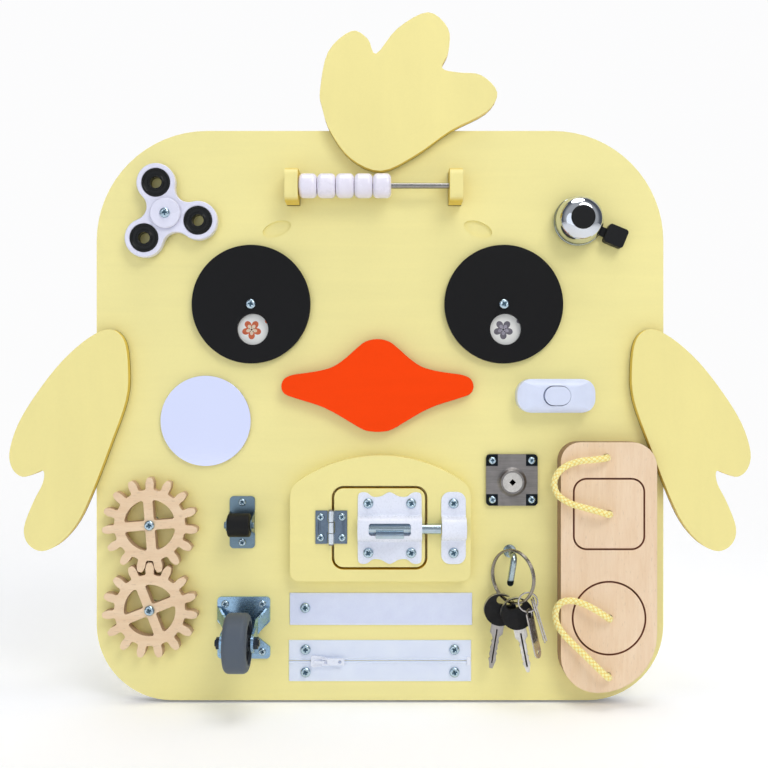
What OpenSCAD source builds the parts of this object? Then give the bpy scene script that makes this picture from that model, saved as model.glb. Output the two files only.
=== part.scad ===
// Wooden busy board in the shape of a chick, for small hands to explore.
//
// The board hangs on a wall. The origin is the centre of its back face, +Z is up,
// +X is to the viewer's right and the played-on front looks along -Y.
// Every fitting is modelled lying flat, +Y up and +Z out of the board, and on_face()
// then stands it against the board's front.

/* [Board] */
// Width of the board
board_w = 442; // [436:1:460]
// Height of the board
board_h = 444; // [440:1:460]
// Thickness of the board's plywood
board_t = 12; // [12:0.5:18]
// Corner radius at the top
top_r = 86; // [70:1:95]
// Corner radius at the bottom
bottom_r = 59; // [50:1:62]
// Thickness of the wings, the tuft and the beak
trim_t = 8; // [5:0.5:10]
// Half the distance between the two wall hangers
hanger_dx = 120; // [90:5:150]
// Height of the wall hangers above the board's centre
hanger_z = 180; // [160:5:190]

/* [Face] */
// Sideways place of the face's middle
face_x = -2; // [-4:0.5:2]
// Distance from the face's middle to each eye
eye_dx = 98; // [94:1:104]
// Height of the eyes
eye_z = 86.5; // [84:0.5:92]
// Radius of an eye disc
eye_r = 46; // [40:0.5:48]
// Thickness of an eye disc
eye_t = 4; // [3:0.5:6]
// Radius of the round window in an eye disc
window_r = 12; // [8:0.5:13]
// Distance from the eye's centre to its window
window_off = 19.5; // [18:0.5:22]
// Distance from the face's middle to each brow
brow_dx = 78.5; // [72:0.5:84]
// Height of the brows
brow_z = 145.5; // [142:0.5:150]
// Length of a brow recess
brow_l = 23; // [16:1:26]
// Depth of a brow recess
brow_depth = 2; // [1:0.5:4]

/* [Abacus] */
// Height of the abacus rod above the board's centre
abacus_z = 176.5; // [172:0.5:180]
// Length of rod between the two posts
abacus_span = 115.5; // [100:0.5:120]
// Radius of the abacus rod
abacus_rod_r = 2.2; // [1.6:0.1:3]
// Radius of a bead
bead_r = 9.4; // [7:0.1:9.6]
// Length of a bead along the rod
bead_l = 13.9; // [10:0.1:15]

/* [Spinner] */
// Sideways place of the spinner
spinner_x = -165; // [-168:1:-160]
// Height of the spinner
spinner_z = 156; // [152:1:158]
// Distance from the spinner's centre to each ring weight
spinner_arm = 25.2; // [24.8:0.1:27]
// Outer radius of a ring weight
weight_r = 11; // [9:0.5:11.5]
// Thickness of the spinner
spinner_t = 7; // [6:0.5:9]

/* [Bell] */
// Sideways place of the bell
bell_x = 153.4; // [146:0.1:156]
// Height of the bell
bell_z = 150.7; // [144:0.1:152]
// Radius of the bell's dome
dome_r = 18.2; // [16:0.2:19]
// Wall of the bell's dome
dome_wall = 1.2; // [0.8:0.1:1.6]

/* [Round mirror] */
// Radius of the mirror
mirror_r = 35; // [25:1:38]
// Thickness of the mirror
mirror_t = 3; // [2:0.5:4]

/* [Switch] */
// Length of the switch housing
switch_l = 60; // [56:1:66]
// Height of the switch housing across the board
switch_w = 26; // [24:0.5:30]
// How far the switch housing stands out
switch_t = 15; // [13:0.5:18]
// Throw of the rocker from one side to the other, in degrees
rocker_throw = 12; // [8:1:14]

/* [Cam lock] */
// Side of the square lock plate
lock_w = 40; // [36:1:44]
// Radius of the lock barrel
barrel_r = 9.8; // [9:0.1:11]
// Radius of the turning plug
plug_r = 7.6; // [6.5:0.1:8]

/* [Door] */
// Width of the arched door panel
panel_w = 139; // [134:1:142]
// Thickness of the arched door panel
panel_t = 10; // [8:0.5:12]
// Width of the doorway
doorway_w = 73.6; // [70:0.2:76]
// Height of the doorway
doorway_h = 64.4; // [62:0.2:66]
// Slit all round the door
door_slit = 1.9; // [1.7:0.1:2.4]
// Width of the bolt's plate
bolt_plate_w = 49; // [46:1:52]
// Radius of the bolt's rod
bolt_rod_r = 4; // [3:0.1:4.4]

/* [Tapes] */
// Length of the hook-and-loop strip and of the zipper
tape_l = 142; // [136:1:150]
// Height of the hook-and-loop strip
strip_w = 25; // [20:1:28]
// Height of the whole zipper
zipper_w = 32; // [30:1:34]

/* [Gears] */
// Distance between the two gear centres
gear_distance = 65.4; // [65:0.1:66.4]
// Thickness of a gear
gear_t = 8; // [6:0.5:9]
// Height of a tooth outside the pitch circle
gear_addendum = 4.1; // [3.6:0.1:4.3]
// Depth of a tooth inside the pitch circle
gear_dedendum = 5.4; // [5:0.1:5.8]
// Width of a spoke
spoke_w = 7.2; // [5:0.1:9]

/* [Rollers] */
// Radius of the small roller
roller_r = 9; // [8:0.5:10]
// Radius of the caster wheel over its tyre
caster_r = 22; // [18:0.5:23]
// Width of the caster's tyre
caster_w = 18; // [14:0.5:20]
// Height of the caster's axle above the board
caster_axle_h = 34; // [30:0.5:38]

/* [Keys] */
// Radius of the split ring, to the middle of its wire
ring_r = 20; // [19:0.5:21]
// Radius of a key's round bow
bow_r = 12.3; // [11.8:0.1:13]
// Thickness of a key's bow
bow_t = 4.5; // [4:0.1:4.8]

/* [Shape sorter] */
// Width of the shape sorter panel
sorter_w = 73.5; // [70:0.5:76]
// Height of the shape sorter panel
sorter_h = 191.5; // [186:0.5:196]
// Thickness of the panel and of its two shapes
sorter_t = 15; // [12:0.5:18]
// Side of the square shape
square_w = 53; // [44:0.5:56]
// Radius of the round shape
circle_r = 27.4; // [22:0.1:29]
// Gap round each shape
shape_gap = 0.8; // [0.4:0.1:1]
// Radius of the two ropes
rope_r = 2.5; // [2:0.1:3]

/* [Hidden] */

// Smoothness of round pieces
$fn = 48;
// Running clearance between a shaft and its bore
run = 0.08;
// Gap between faces that slide past each other
slip = 0.3;
// Small overlap that joins solids or lets a cut break through
bite = 0.01;

front_y = -board_t;

// A mounting screw: shank radius, head radius and head height
shank_r = 1.5;
head_r = 4;
head_h = 2.4;
small_head_r = 3;
small_head_h = 1.9;
screw_depth = 8;

// Stands a flat-lying fitting against the board's front at board place x, z.
module on_face(x, z) translate([x, front_y, z]) rotate([90, 0, 0]) children();

// A flat plate whose back lies h above the board.
module plate(h, t) translate([0, 0, h]) linear_extrude(t) children();

// Points of an arc about c from angle a to angle b.
function arc(c, r, a, b, steps = 8) =
    [for (i = [0:steps]) c + r * [cos(a + (b - a) * i / steps), sin(a + (b - a) * i / steps)]];

// Rounded rectangle with its own radius at each corner: top right, top left, bottom left, bottom right.
function rect_points(w, h, r, steps = 8) = concat(
    arc([w / 2 - r[0], h / 2 - r[0]], r[0], 0, 90, steps),
    arc([r[1] - w / 2, h / 2 - r[1]], r[1], 90, 180, steps),
    arc([r[2] - w / 2, r[2] - h / 2], r[2], 180, 270, steps),
    arc([w / 2 - r[3], r[3] - h / 2], r[3], 270, 360, steps));
module rounded_rect(w, h, r) polygon(rect_points(w, h, [r, r, r, r]));

function ellipse_points(a, b, n = 32) = [for (i = [0:n - 1]) [a * cos(360 * i / n), b * sin(360 * i / n)]];

// Smooth closed curve through the points: a Catmull-Rom spline.
function knot(p, i) = p[(i + len(p)) % len(p)];
function spline_at(a, b, c, d, t) = 0.5 * (2 * b + (c - a) * t
    + (2 * a - 5 * b + 4 * c - d) * t * t + (3 * b - a - 3 * c + d) * t * t * t);
function closed_spline(p, steps = 4) = [for (i = [0:len(p) - 1], j = [0:steps - 1])
    spline_at(knot(p, i - 1), knot(p, i), knot(p, i + 1), knot(p, i + 2), j / steps)];
function open_spline(p, steps = 4) = concat([for (i = [0:len(p) - 2], j = [0:steps - 1])
    spline_at(p[max(i - 1, 0)], p[i], p[i + 1], p[min(i + 2, len(p) - 1)], j / steps)],
    [p[len(p) - 1]]);

// A tube of radius r along a route of points: rings carried along by their least turning.
function unit(v) = v / norm(v);
function tangent(p, i) = unit(p[min(i + 1, len(p) - 1)] - p[max(i - 1, 0)]);
function carried(side, t) = unit(side - (side * t) * t);
function sides_along(p, first) = [for (i = 0, s = carried(first, tangent(p, 0)); i < len(p);
    i = i + 1, s = i < len(p) ? carried(s, tangent(p, i)) : s) s];
function ring_points(c, t, s, r, n) = [for (k = [0:n - 1])
    c + r * (cos(360 * k / n) * s + sin(360 * k / n) * cross(t, s))];
module tube(p, r, n, first) {
    side = sides_along(p, first);
    rings = [for (i = [0:len(p) - 1]) ring_points(p[i], tangent(p, i), side[i], r, n)];
    walls = [for (i = [0:len(p) - 2], k = [0:n - 1])
        [i * n + k, i * n + (k + 1) % n, (i + 1) * n + (k + 1) % n, (i + 1) * n + k]];
    caps = [[for (k = [n - 1:-1:0]) k], [for (k = [0:n - 1]) (len(p) - 1) * n + k]];
    polyhedron([for (q = rings) each q], concat(caps, walls));
}

// Pan head with a straight shank; the origin is the seat under the head.
module pan_screw(r = head_r, h = head_h, depth = screw_depth) {
    rotate_extrude()
        polygon(concat([[0, 0]],
            [for (i = [0:6]) [r * cos(15 * i), i == 0 ? 0 : h * sin(15 * i)]]));
    translate([0, 0, -depth]) cylinder(r = shank_r, h = depth + bite);
}

// ---- Places of the fittings on the board's front ----
brow_w = 11.6;
brow_tilt = 20;
mirror_x = -135.5;
mirror_z = -4;
switch_x = 135.5;
switch_z = 15.5;
lock_x = 102.5;
lock_z = -50;

abacus_x = -62.4 + abacus_span / 2;
post_w = 10;
post_h = 25.6;
post_out = 21;
post_round = 6;
abacus_h = 12.5;
bead_gap = slip;
bead_bore_r = abacus_rod_r + 0.6;

eye_gap = 0.3;
card_t = 1;
card_r = eye_r - 4;
eye_pin_r = 3;

spinner_phase = 108;
spinner_lift = 2.4;
lobe_r = weight_r + 4;
hub_r = 13;
cap_r = 11.8;
cap_h = 2.6;
bearing_r = 8;
spinner_pin_r = 4;

bell_lever_angle = -22.5;
bell_lever_r = 31;
dome_rim_h = 5;
dome_h = 24;
dome_mouth_r = 9.4;
bell_cap_r = 9.1;

rocker_l = 20;
rocker_w = 14.5;
rocker_pivot_h = switch_t - 3;

lock_t = 3;
barrel_h = 7;
barrel_drop = 1.5;
lock_screw_dx = 15.2;

panel_x = 0.3;
panel_bottom = -127.3;
panel_side_top = -55;
panel_arch_rise = 24.6;
panel_corner_r = 7;
panel_shoulder_r = 14;
doorway_x = -0.3;
doorway_z = -86;
doorway_r = 9;
door_back_gap = 0.5;
door_w = doorway_w - 2 * door_slit;
door_h = doorway_h - 2 * door_slit;
door_t = panel_t - door_back_gap;

hinge_leaf_t = 1.2;
hinge_knuckle_r = 2.5;
hinge_pin_r = 1.2;
hinge_x = doorway_x - doorway_w / 2 - 0.3;
hinge_z = -85.4;
hinge_leaf_w = 12.2;
hinge_leaf_h = 25.5;
hinge_h = panel_t + hinge_knuckle_r;
hinge_screw_dx = 8.2;
hinge_screw_dz = 7.9;

bolt_x = 7.5;
bolt_z = -86;
bolt_plate_h = 55;
bolt_plate_t = 1.4;
bolt_h = panel_t + 5.6;
bolt_shell_r = bolt_rod_r + 5;
bolt_slot_l = 32;
bolt_slot_w = 9.4;
bolt_tab_l = 21;
bolt_screw_dx = 16.5;
bolt_screw_dz = 19;
keeper_x = 56.5;
keeper_w = 19;
keeper_h = 55.5;
keeper_round = 7;
rod_short = 0.5;

strip_x = 0.7;
strip_z = -150.6;
strip_t = 1.1;
strip_screw_x = -58.3;
zipper_x = 0;
zipper_z = -191;
zipper_tape_t = 0.8;
zipper_tooth_w = 2.6;
zipper_tooth_h = 1.5;
zipper_slider_x = 24 - tape_l / 2;
zipper_screw_dx = 58;
zipper_screw_dz = 8.8;

gear_x = -177;
gear_z = -84;
gear_lift = 3;
gear_pin_r = 3;
gear_teeth = 15;
pitch_r = gear_distance / 2;
gear_rim_r = 19.8;
gear_pressure = 15;
gear_play = 0.9;

roller_x = -107.2;
roller_z = -83;
roller_plate_w = 19.6;
roller_plate_h = 40.5;
roller_plate_t = 1.5;
cheek_t = 0.9;
roller_w = roller_plate_w - 2 * cheek_t - 2 * slip;
roller_h = roller_r + 7.5;
roller_screw_dz = 15.6;
caster_x = -106;
caster_z = -165;
caster_plate_w = 41;
caster_plate_h = 48;
caster_plate_t = 2;
caster_drop = 3;
caster_gap = 1.6;
fork_t = 2;
caster_screw_dx = 14.4;
caster_screw_dz = 18.6;
caster_axle_r = 2.5;

hook_x = 101;
hook_z = -105.5;
hook_wire_r = 2.5;
hook_out = 27;
hook_leg = 19.5;
hook_bend = 5;
hook_lean = -9;
ring_wire_r = 0.9;
ring_tilt = 47;
ring_h = 18.5;
ring_z = -(ring_r - hook_wire_r - ring_wire_r - slip);

sorter_x = 175;
sorter_z = -115.7;
sorter_radii = [19, 15, 28, 45];
square_z = 41;
square_corner = 9.5;
circle_z = -38.6;
rope_hole_r = rope_r + 0.4;
rope_hole_end = 9.5;

// ---- Screws: every list holds [x, z, height of the seat under the head, head radius, head height] ----
function four(x, z, dx, dz) = [for (i = [-1, 1], j = [-1, 1]) [x + i * dx, z + j * dz]];
function seated(places, h, r = head_r, t = head_h) = [for (p = places) [p[0], p[1], h, r, t]];

lock_screws = seated(four(lock_x, lock_z, lock_screw_dx, lock_screw_dx), lock_t, small_head_r, small_head_h);
strip_screws = seated([[strip_screw_x, strip_z + 1]], strip_t);
zipper_screws = seated(four(zipper_x, zipper_z, zipper_screw_dx, zipper_screw_dz), zipper_tape_t);
roller_screws = seated([for (j = [-1, 1]) [roller_x, roller_z + j * roller_screw_dz]], roller_plate_t,
    small_head_r, small_head_h);
caster_screws = seated(four(caster_x, caster_z, caster_screw_dx, caster_screw_dz), caster_plate_t,
    small_head_r, small_head_h);
panel_screws = concat(
    seated([for (j = [-1, 1]) [hinge_x - hinge_screw_dx, hinge_z + j * hinge_screw_dz]],
        panel_t + hinge_leaf_t, small_head_r, small_head_h),
    seated([for (j = [-1, 1]) [keeper_x, bolt_z + j * bolt_screw_dz]], panel_t + bolt_plate_t));
leaf_screws = concat(
    seated([for (j = [-1, 1]) [hinge_x + hinge_screw_dx, hinge_z + j * hinge_screw_dz]],
        panel_t + hinge_leaf_t, small_head_r, small_head_h),
    seated(four(bolt_x, bolt_z, bolt_screw_dx, bolt_screw_dz), panel_t + bolt_plate_t));
eye_places = [for (i = [-1, 1]) [face_x + i * eye_dx, eye_z]];
gear_places = [[gear_x, gear_z], [gear_x, gear_z - gear_distance]];
eye_seat = card_t + eye_gap + eye_t + slip;
gear_seat = gear_lift + gear_t + slip;
spinner_seat = spinner_lift + spinner_t + slip + cap_h;
board_held = concat(lock_screws, strip_screws, zipper_screws, roller_screws, caster_screws);
pivots = concat(eye_places, gear_places, [[spinner_x, spinner_z]]);

// Pilot holes in the board, panel and door for the shanks.
pilot_r = shank_r + 0.05;
module pilots(places, from, depth)
    for (p = places) translate([p[0], p[1], from - depth]) cylinder(r = pilot_r, h = depth + bite);

// A screw that carries a turning piece: a shoulder from the board to the seat, then the head.
module pivot_screw(r, seat) {
    cylinder(r = r, h = seat + bite);
    translate([0, 0, -screw_depth]) cylinder(r = shank_r, h = screw_depth + bite);
    translate([0, 0, seat]) pan_screw(depth = bite);
}

// ---- Board and its painted trims ----
function board_points() = rect_points(board_w, board_h, [top_r, top_r, bottom_r, bottom_r], 16);

mortise_depth = 9;
module post_places() for (i = [-1, 1])
    translate([abacus_x + i * (abacus_span + post_w) / 2, abacus_z]) children();

keyhole_r = 4.6;
keyhole_slot_r = 2.2;
keyhole_drop = 9;
hanger_w = 16;
hanger_h = 40;
hanger_t = 1.5;
hanger_cavity = 7;

// The keyhole's outline: a round entry below a narrow slot.
module keyhole(extra = 0) {
    circle(r = keyhole_r + extra);
    translate([-keyhole_slot_r - extra, 0]) square([2 * (keyhole_slot_r + extra), keyhole_drop]);
    translate([0, keyhole_drop]) circle(r = keyhole_slot_r + extra);
}

// The hanger plate's outline, grown by the gap round it.
module hanger_outline(gap) translate([0, keyhole_drop / 2])
    rounded_rect(hanger_w + 2 * gap, hanger_h + 2 * gap, hanger_w / 2 - bite);

module board() color("#f3e8a3") difference() {
    rotate([90, 0, 0]) linear_extrude(board_t) polygon(board_points());
    on_face(0, 0) {
        for (i = [-1, 1]) translate([face_x + i * brow_dx, brow_z, -brow_depth]) rotate(-i * brow_tilt)
            linear_extrude(brow_depth + 1) polygon(ellipse_points(brow_l / 2, brow_w / 2));
        translate([0, 0, -mortise_depth]) linear_extrude(mortise_depth + 1)
            post_places() square([post_w + 0.4, post_h + 0.4], center = true);
        pilots(concat(board_held, pivots), 0, screw_depth + 0.3);
        translate([lock_x, lock_z - barrel_drop, -board_t - 1]) cylinder(r = barrel_r - 1.2, h = board_t + 2);
        translate([hook_x, hook_z, -screw_depth - 0.3]) cylinder(r = hook_wire_r + 0.05, h = screw_depth + 1);
        for (i = [-1, 1]) translate([i * hanger_dx, hanger_z, -board_t - 1]) {
            linear_extrude(hanger_cavity + 1) keyhole(2);
            linear_extrude(hanger_t + 1) hanger_outline(0.1);
        }
    }
}

tuft_points = [[-46.3, 251], [-40, 281], [-22, 297], [-9.5, 291], [-3, 279.5], [13.5, 299], [37, 311.5],
    [52.5, 299], [52.8, 281], [48, 268.5], [61, 265], [78, 263], [90.5, 249.5], [82, 234.5],
    [54, 219.8], [28, 201.5], [0.8, 189], [-23, 199], [-38.5, 219.8], [-44.7, 238]];
module tuft() color("#f2e7a0") on_face(0, 0) plate(0, trim_t) polygon(closed_spline(tuft_points));

// Left wing; the right one is its mirror.
wing_points = [[-208.5, 67], [-197.5, 58.5], [-194.3, 36.5], [-196, 12], [-207.8, -21.7], [-221.4, -57.2],
    [-233, -81.9], [-246.8, -98], [-260.7, -104.4], [-271.5, -99], [-274.8, -86.5], [-267.8, -67],
    [-260.3, -52], [-259.8, -42.5], [-267, -44.8], [-276, -47], [-283.6, -41], [-286, -28], [-279.3, -6.3],
    [-265.3, 16.9], [-246, 41.6], [-225.2, 60]];
module wing() on_face(0, 0) plate(0, trim_t) polygon(closed_spline(wing_points));
module wings() color("#f2e7a0") {
    wing();
    mirror([1, 0, 0]) wing();
}

beak_half = [[0, 59.3], [9, 57.4], [16, 52.2], [24, 45], [33.5, 38.3], [44, 35], [56, 33], [65.5, 31.6],
    [72, 28.5], [74.2, 22.5], [71.5, 16.8], [62, 13.2], [46, 8.2], [34.5, 3], [23.8, -3.2], [11.5, -10.4],
    [4, -12.2]];
function mirrored(half) = concat(half, [for (i = [len(half) - 1:-1:1]) [-half[i][0], half[i][1]]]);
module beak() color("#fa5a10") on_face(face_x, 0) plate(0, trim_t)
    polygon(closed_spline(mirrored(beak_half), 3));

module mirror_disc() color("#e8e6f2") on_face(mirror_x, mirror_z) cylinder(r = mirror_r, h = mirror_t);

// ---- Abacus ----
module abacus_posts() color("#ecdc8c") on_face(0, 0) difference() {
    post_places() rotate([90, 0, 90]) translate([0, 0, -post_w / 2]) linear_extrude(post_w)
        translate([0, (post_out - mortise_depth) / 2])
            polygon(rect_points(post_h, post_out + mortise_depth, [post_round, post_round, bite, bite]));
    translate([abacus_x - abacus_span, abacus_z, abacus_h]) rotate([0, 90, 0])
        cylinder(r = abacus_rod_r + 0.05, h = 2 * abacus_span);
}
rod_in_post = 8;
module abacus_rod() color("#c9ccd0") on_face(abacus_x - abacus_span / 2 - rod_in_post, abacus_z)
    translate([0, 0, abacus_h]) rotate([0, 90, 0])
        cylinder(r = abacus_rod_r, h = abacus_span + 2 * rod_in_post);

// A bead: a drum with full round shoulders and a bore for the rod.
bead_edge = 3.6;
module bead(i) color("#f6f4f6")
    on_face(abacus_x - abacus_span / 2 + bead_gap + i * (bead_l + bead_gap), abacus_z)
        translate([0, 0, abacus_h]) rotate([0, 90, 0]) rotate_extrude() difference() {
            polygon(concat([[0, 0]], arc([bead_r - bead_edge, bead_edge], bead_edge, -90, 0),
                arc([bead_r - bead_edge, bead_l - bead_edge], bead_edge, 0, 90), [[0, bead_l]]));
            square([2 * bead_bore_r, 3 * bead_l], center = true);
        }

// ---- Eyes ----
module eye_cards() color("#f4f1e6") for (p = eye_places) on_face(p[0], p[1]) difference() {
    cylinder(r = card_r, h = card_t);
    translate([0, 0, -1]) cylinder(r = eye_pin_r + 0.1, h = card_t + 2);
}
window_lean = 4;
module eye_disc(p) color("#161416") on_face(p[0], p[1]) translate([0, 0, card_t + eye_gap]) difference() {
    cylinder(r = eye_r, h = eye_t);
    translate([0, 0, -1]) cylinder(r = eye_pin_r + run, h = eye_t + 2);
    translate([window_off * sin(window_lean), -window_off * cos(window_lean), -1])
        cylinder(r = window_r, h = eye_t + 2);
}

// ---- Fidget spinner ----
// Three lobes joined by hollow arcs that run tangent into them.
spinner_waist = 15.5;
waist_arc_r = (spinner_waist ^ 2 + spinner_arm ^ 2 - spinner_arm * spinner_waist - lobe_r ^ 2)
    / (2 * lobe_r - 2 * spinner_waist + spinner_arm);
waist_centre = spinner_waist + waist_arc_r;
lobe_half_turn = atan2(waist_centre * sin(60), waist_centre * cos(60) - spinner_arm);
function turned(points, a) = [for (p = points)
    [p[0] * cos(a) - p[1] * sin(a), p[0] * sin(a) + p[1] * cos(a)]];
function spinner_points() = [for (k = [0:2]) each turned(concat(
    arc([spinner_arm, 0], lobe_r, -lobe_half_turn, lobe_half_turn, 20),
    arc(waist_centre * [cos(60), sin(60)], waist_arc_r, lobe_half_turn + 180, 300 - lobe_half_turn, 10)),
    spinner_phase + 120 * k)];
module ring_places() for (k = [0:2]) rotate(spinner_phase + 120 * k) translate([spinner_arm, 0, 0]) children();
module at_spinner() on_face(spinner_x, spinner_z) translate([0, 0, spinner_lift]) children();

module spinner_body() color("#f3f1ef") at_spinner() difference() {
    linear_extrude(spinner_t) polygon(spinner_points());
    ring_places() translate([0, 0, -1]) cylinder(r = weight_r + 0.05, h = spinner_t + 2);
    translate([0, 0, -1]) cylinder(r = spinner_pin_r + run, h = spinner_t + 2);
}
weight_hole_r = 4.4;
weight_groove = 0.6;
module spinner_weights() color("#141414") at_spinner() ring_places() difference() {
    cylinder(r = weight_r, h = spinner_t);
    translate([0, 0, -1]) cylinder(r = weight_hole_r, h = spinner_t + 2);
    translate([0, 0, spinner_t - weight_groove]) rotate_extrude()
        translate([weight_hole_r + 1.8, 0]) square([3, 2]);
}
module spinner_cap() color("#efedeb") on_face(spinner_x, spinner_z) difference() {
    translate([0, 0, spinner_lift + spinner_t + slip]) rotate_extrude()
        polygon(concat([[0, 0]], arc([cap_r - 1, cap_h - 1], 1, 0, 90, 4), [[0, cap_h]], [[0, 0]]));
    cylinder(r = pilot_r, h = 4 * spinner_t);
}
module spinner_bearing() color("#b9bcc0") on_face(spinner_x, spinner_z) difference() {
    union() {
        cylinder(r = spinner_pin_r, h = spinner_lift + spinner_t + slip);
        cylinder(r = bearing_r, h = spinner_lift - slip);
    }
    translate([0, 0, -1]) cylinder(r = pilot_r, h = 3 * spinner_t);
}

// ---- Bicycle bell ----
crown_r = 12;
bell_base_h = 2.2;
bell_post_r = 3;
dome_flare = 1;
module bell_base() color("#1a1a1a") on_face(bell_x, bell_z) {
    cylinder(r = dome_r - 1.5, h = bell_base_h);
    cylinder(r = bell_post_r + 1.5, h = dome_h - dome_wall);
    cylinder(r = bell_post_r, h = dome_h);
    rotate(bell_lever_angle) translate([lever_pivot, 0, 0]) cylinder(r = lever_pin_r, h = lever_top + 1);
}
function dome_profile() = concat(
    [[dome_r - dome_wall, dome_rim_h], [dome_r + dome_flare, dome_rim_h],
        [dome_r + dome_flare, dome_rim_h + 0.8], [dome_r, dome_rim_h + 2.2]],
    arc([dome_r - crown_r, dome_h - crown_r], crown_r, 0, 90, 10),
    [[bell_post_r + 0.1, dome_h], [bell_post_r + 0.1, dome_h - dome_wall]],
    arc([dome_r - crown_r, dome_h - crown_r], crown_r - dome_wall, 90, 0, 10));
module bell_dome() color("#d9dde2") on_face(bell_x, bell_z) rotate_extrude() polygon(dome_profile());
bell_cap_h = 1.8;
module bell_cap() color("#17171a") on_face(bell_x, bell_z) translate([0, 0, dome_h]) rotate_extrude()
    polygon(concat([[0, 0], [bell_cap_r, 0]], arc([bell_cap_r - 1, bell_cap_h - 1], 1, 0, 90, 4),
        [[0, bell_cap_h]]));

lever_pivot = 11;
lever_pin_r = 1.5;
lever_arm_t = 2;
lever_low = bell_base_h + slip;
lever_top = lever_low + lever_arm_t;
lever_pad_l = 16;
lever_pad_w = 15;
lever_pad_t = 6.5;
hammer_r = 2.2;
hammer_reach = 8;
module bell_lever() color("#161616") on_face(bell_x, bell_z) rotate(bell_lever_angle) {
    translate([0, 0, lever_low]) linear_extrude(lever_arm_t) difference() {
        union() {
            translate([lever_pivot, -3.5]) square([bell_lever_r - lever_pivot, 7]);
            translate([lever_pivot, 0]) circle(r = 3.5);
            translate([lever_pivot, 0]) rotate(100) translate([0, -1.6]) square([hammer_reach, 3.2]);
        }
        translate([lever_pivot, 0]) circle(r = lever_pin_r + run);
    }
    translate([lever_pivot, 0, lever_low]) rotate(100) translate([hammer_reach, 0, 0])
        cylinder(r = hammer_r, h = lever_pad_t);
    translate([bell_lever_r, 0, lever_low]) linear_extrude(lever_pad_t)
        rounded_rect(lever_pad_l, lever_pad_w, 2.4);
}

// ---- Inline rocker switch ----
switch_end_r = 11;
switch_crown = 4;
well_gap = 0.6;
trunnion_r = 1.2;
trunnion_l = 1.2;
module stadium(l, w) {
    square([l - w, w], center = true);
    for (i = [-1, 1]) translate([i * (l - w) / 2, 0]) circle(r = w / 2);
}
// Crowned side view: full height in the middle, lower at both ends.
function crowned(w, t, drop) = concat([[w / 2, 0]],
    [for (i = [8:-1:-8]) [w / 2 * i / 8, t - drop * (i / 8) ^ 4]], [[-w / 2, 0]]);
module switch_housing() color("#f4f4f4") on_face(switch_x, switch_z) difference() {
    intersection() {
        linear_extrude(switch_t) rounded_rect(switch_l, switch_w, switch_end_r);
        rotate([90, 0, 0]) translate([0, 0, -switch_w / 2]) linear_extrude(switch_w)
            polygon(crowned(switch_l, switch_t, switch_crown));
        rotate([90, 0, 90]) translate([0, 0, -switch_l / 2]) linear_extrude(switch_l)
            polygon(crowned(switch_w, switch_t, switch_crown));
    }
    translate([0, 0, rocker_pivot_h - 3.6]) linear_extrude(switch_t)
        stadium(rocker_l + 2 * well_gap, rocker_w + 2 * well_gap);
    translate([0, 0, rocker_pivot_h]) rotate([90, 0, 0])
        cylinder(r = trunnion_r + run, h = rocker_w + 2 * (well_gap + trunnion_l + 0.3), center = true);
}
rocker_low = 1.5;
rocker_high = 4.6;
module switch_rocker() color("#fbfbfb") on_face(switch_x, switch_z) translate([0, 0, rocker_pivot_h])
    rotate([0, rocker_throw / 2, 0]) {
        intersection() {
            translate([0, 0, -rocker_low]) linear_extrude(rocker_low + rocker_high) stadium(rocker_l, rocker_w);
            rotate([90, 0, 0]) translate([0, 0, -rocker_w]) linear_extrude(2 * rocker_w)
                polygon(concat([[rocker_l / 2, -rocker_low]],
                    [for (i = [8:-1:-8]) [rocker_l / 2 * i / 8, rocker_high - 1.6 + 1.2 * (i / 8) ^ 2]],
                    [[-rocker_l / 2, -rocker_low]]));
        }
        rotate([90, 0, 0])
            cylinder(r = trunnion_r, h = rocker_w + 2 * (well_gap + trunnion_l), center = true);
    }

// ---- Cam lock ----
plug_depth = 8;
lock_relief = 1;
module at_barrel() on_face(lock_x, lock_z - barrel_drop) children();
module lock_body() color("#8d8f93") difference() {
    union() {
        on_face(lock_x, lock_z) linear_extrude(lock_t) rounded_rect(lock_w, lock_w, 3);
        at_barrel() translate([0, 0, -board_t]) cylinder(r = barrel_r - 1.3, h = board_t + bite);
        at_barrel() rotate_extrude() polygon([[0, 0], [barrel_r + 1.6, 0], [barrel_r + 1.6, lock_t],
            [barrel_r, lock_t + 1.2], [barrel_r, barrel_h - 0.8], [barrel_r - 0.8, barrel_h], [0, barrel_h]]);
    }
    at_barrel() translate([0, 0, -plug_depth]) cylinder(r = plug_r + run, h = 4 * plug_depth);
    on_face(lock_x, lock_z) {
        pilots(four(0, 0, lock_screw_dx, lock_screw_dx), 2 * lock_t, 4 * lock_t);
        for (p = four(0, 0, lock_screw_dx, lock_screw_dx)) translate([p[0], p[1], lock_t - lock_relief])
            linear_extrude(2) difference() {
                square(8.4, center = true);
                circle(r = small_head_r + 0.5);
            }
    }
}
keyway = 3.6;
keyway_depth = 6;
module lock_plug() color("#b6b9bd") at_barrel() difference() {
    translate([0, 0, slip - plug_depth]) cylinder(r = plug_r, h = plug_depth + barrel_h - 2 * slip);
    translate([0, 0, barrel_h - keyway_depth]) linear_extrude(2 * keyway_depth) rotate(45)
        square(keyway, center = true);
}

// ---- Arched door panel and its door ----
panel_half = panel_w / 2;
arch_r = (panel_half ^ 2 + panel_arch_rise ^ 2) / (2 * panel_arch_rise);
arch_low = panel_side_top + panel_arch_rise - arch_r;
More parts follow.
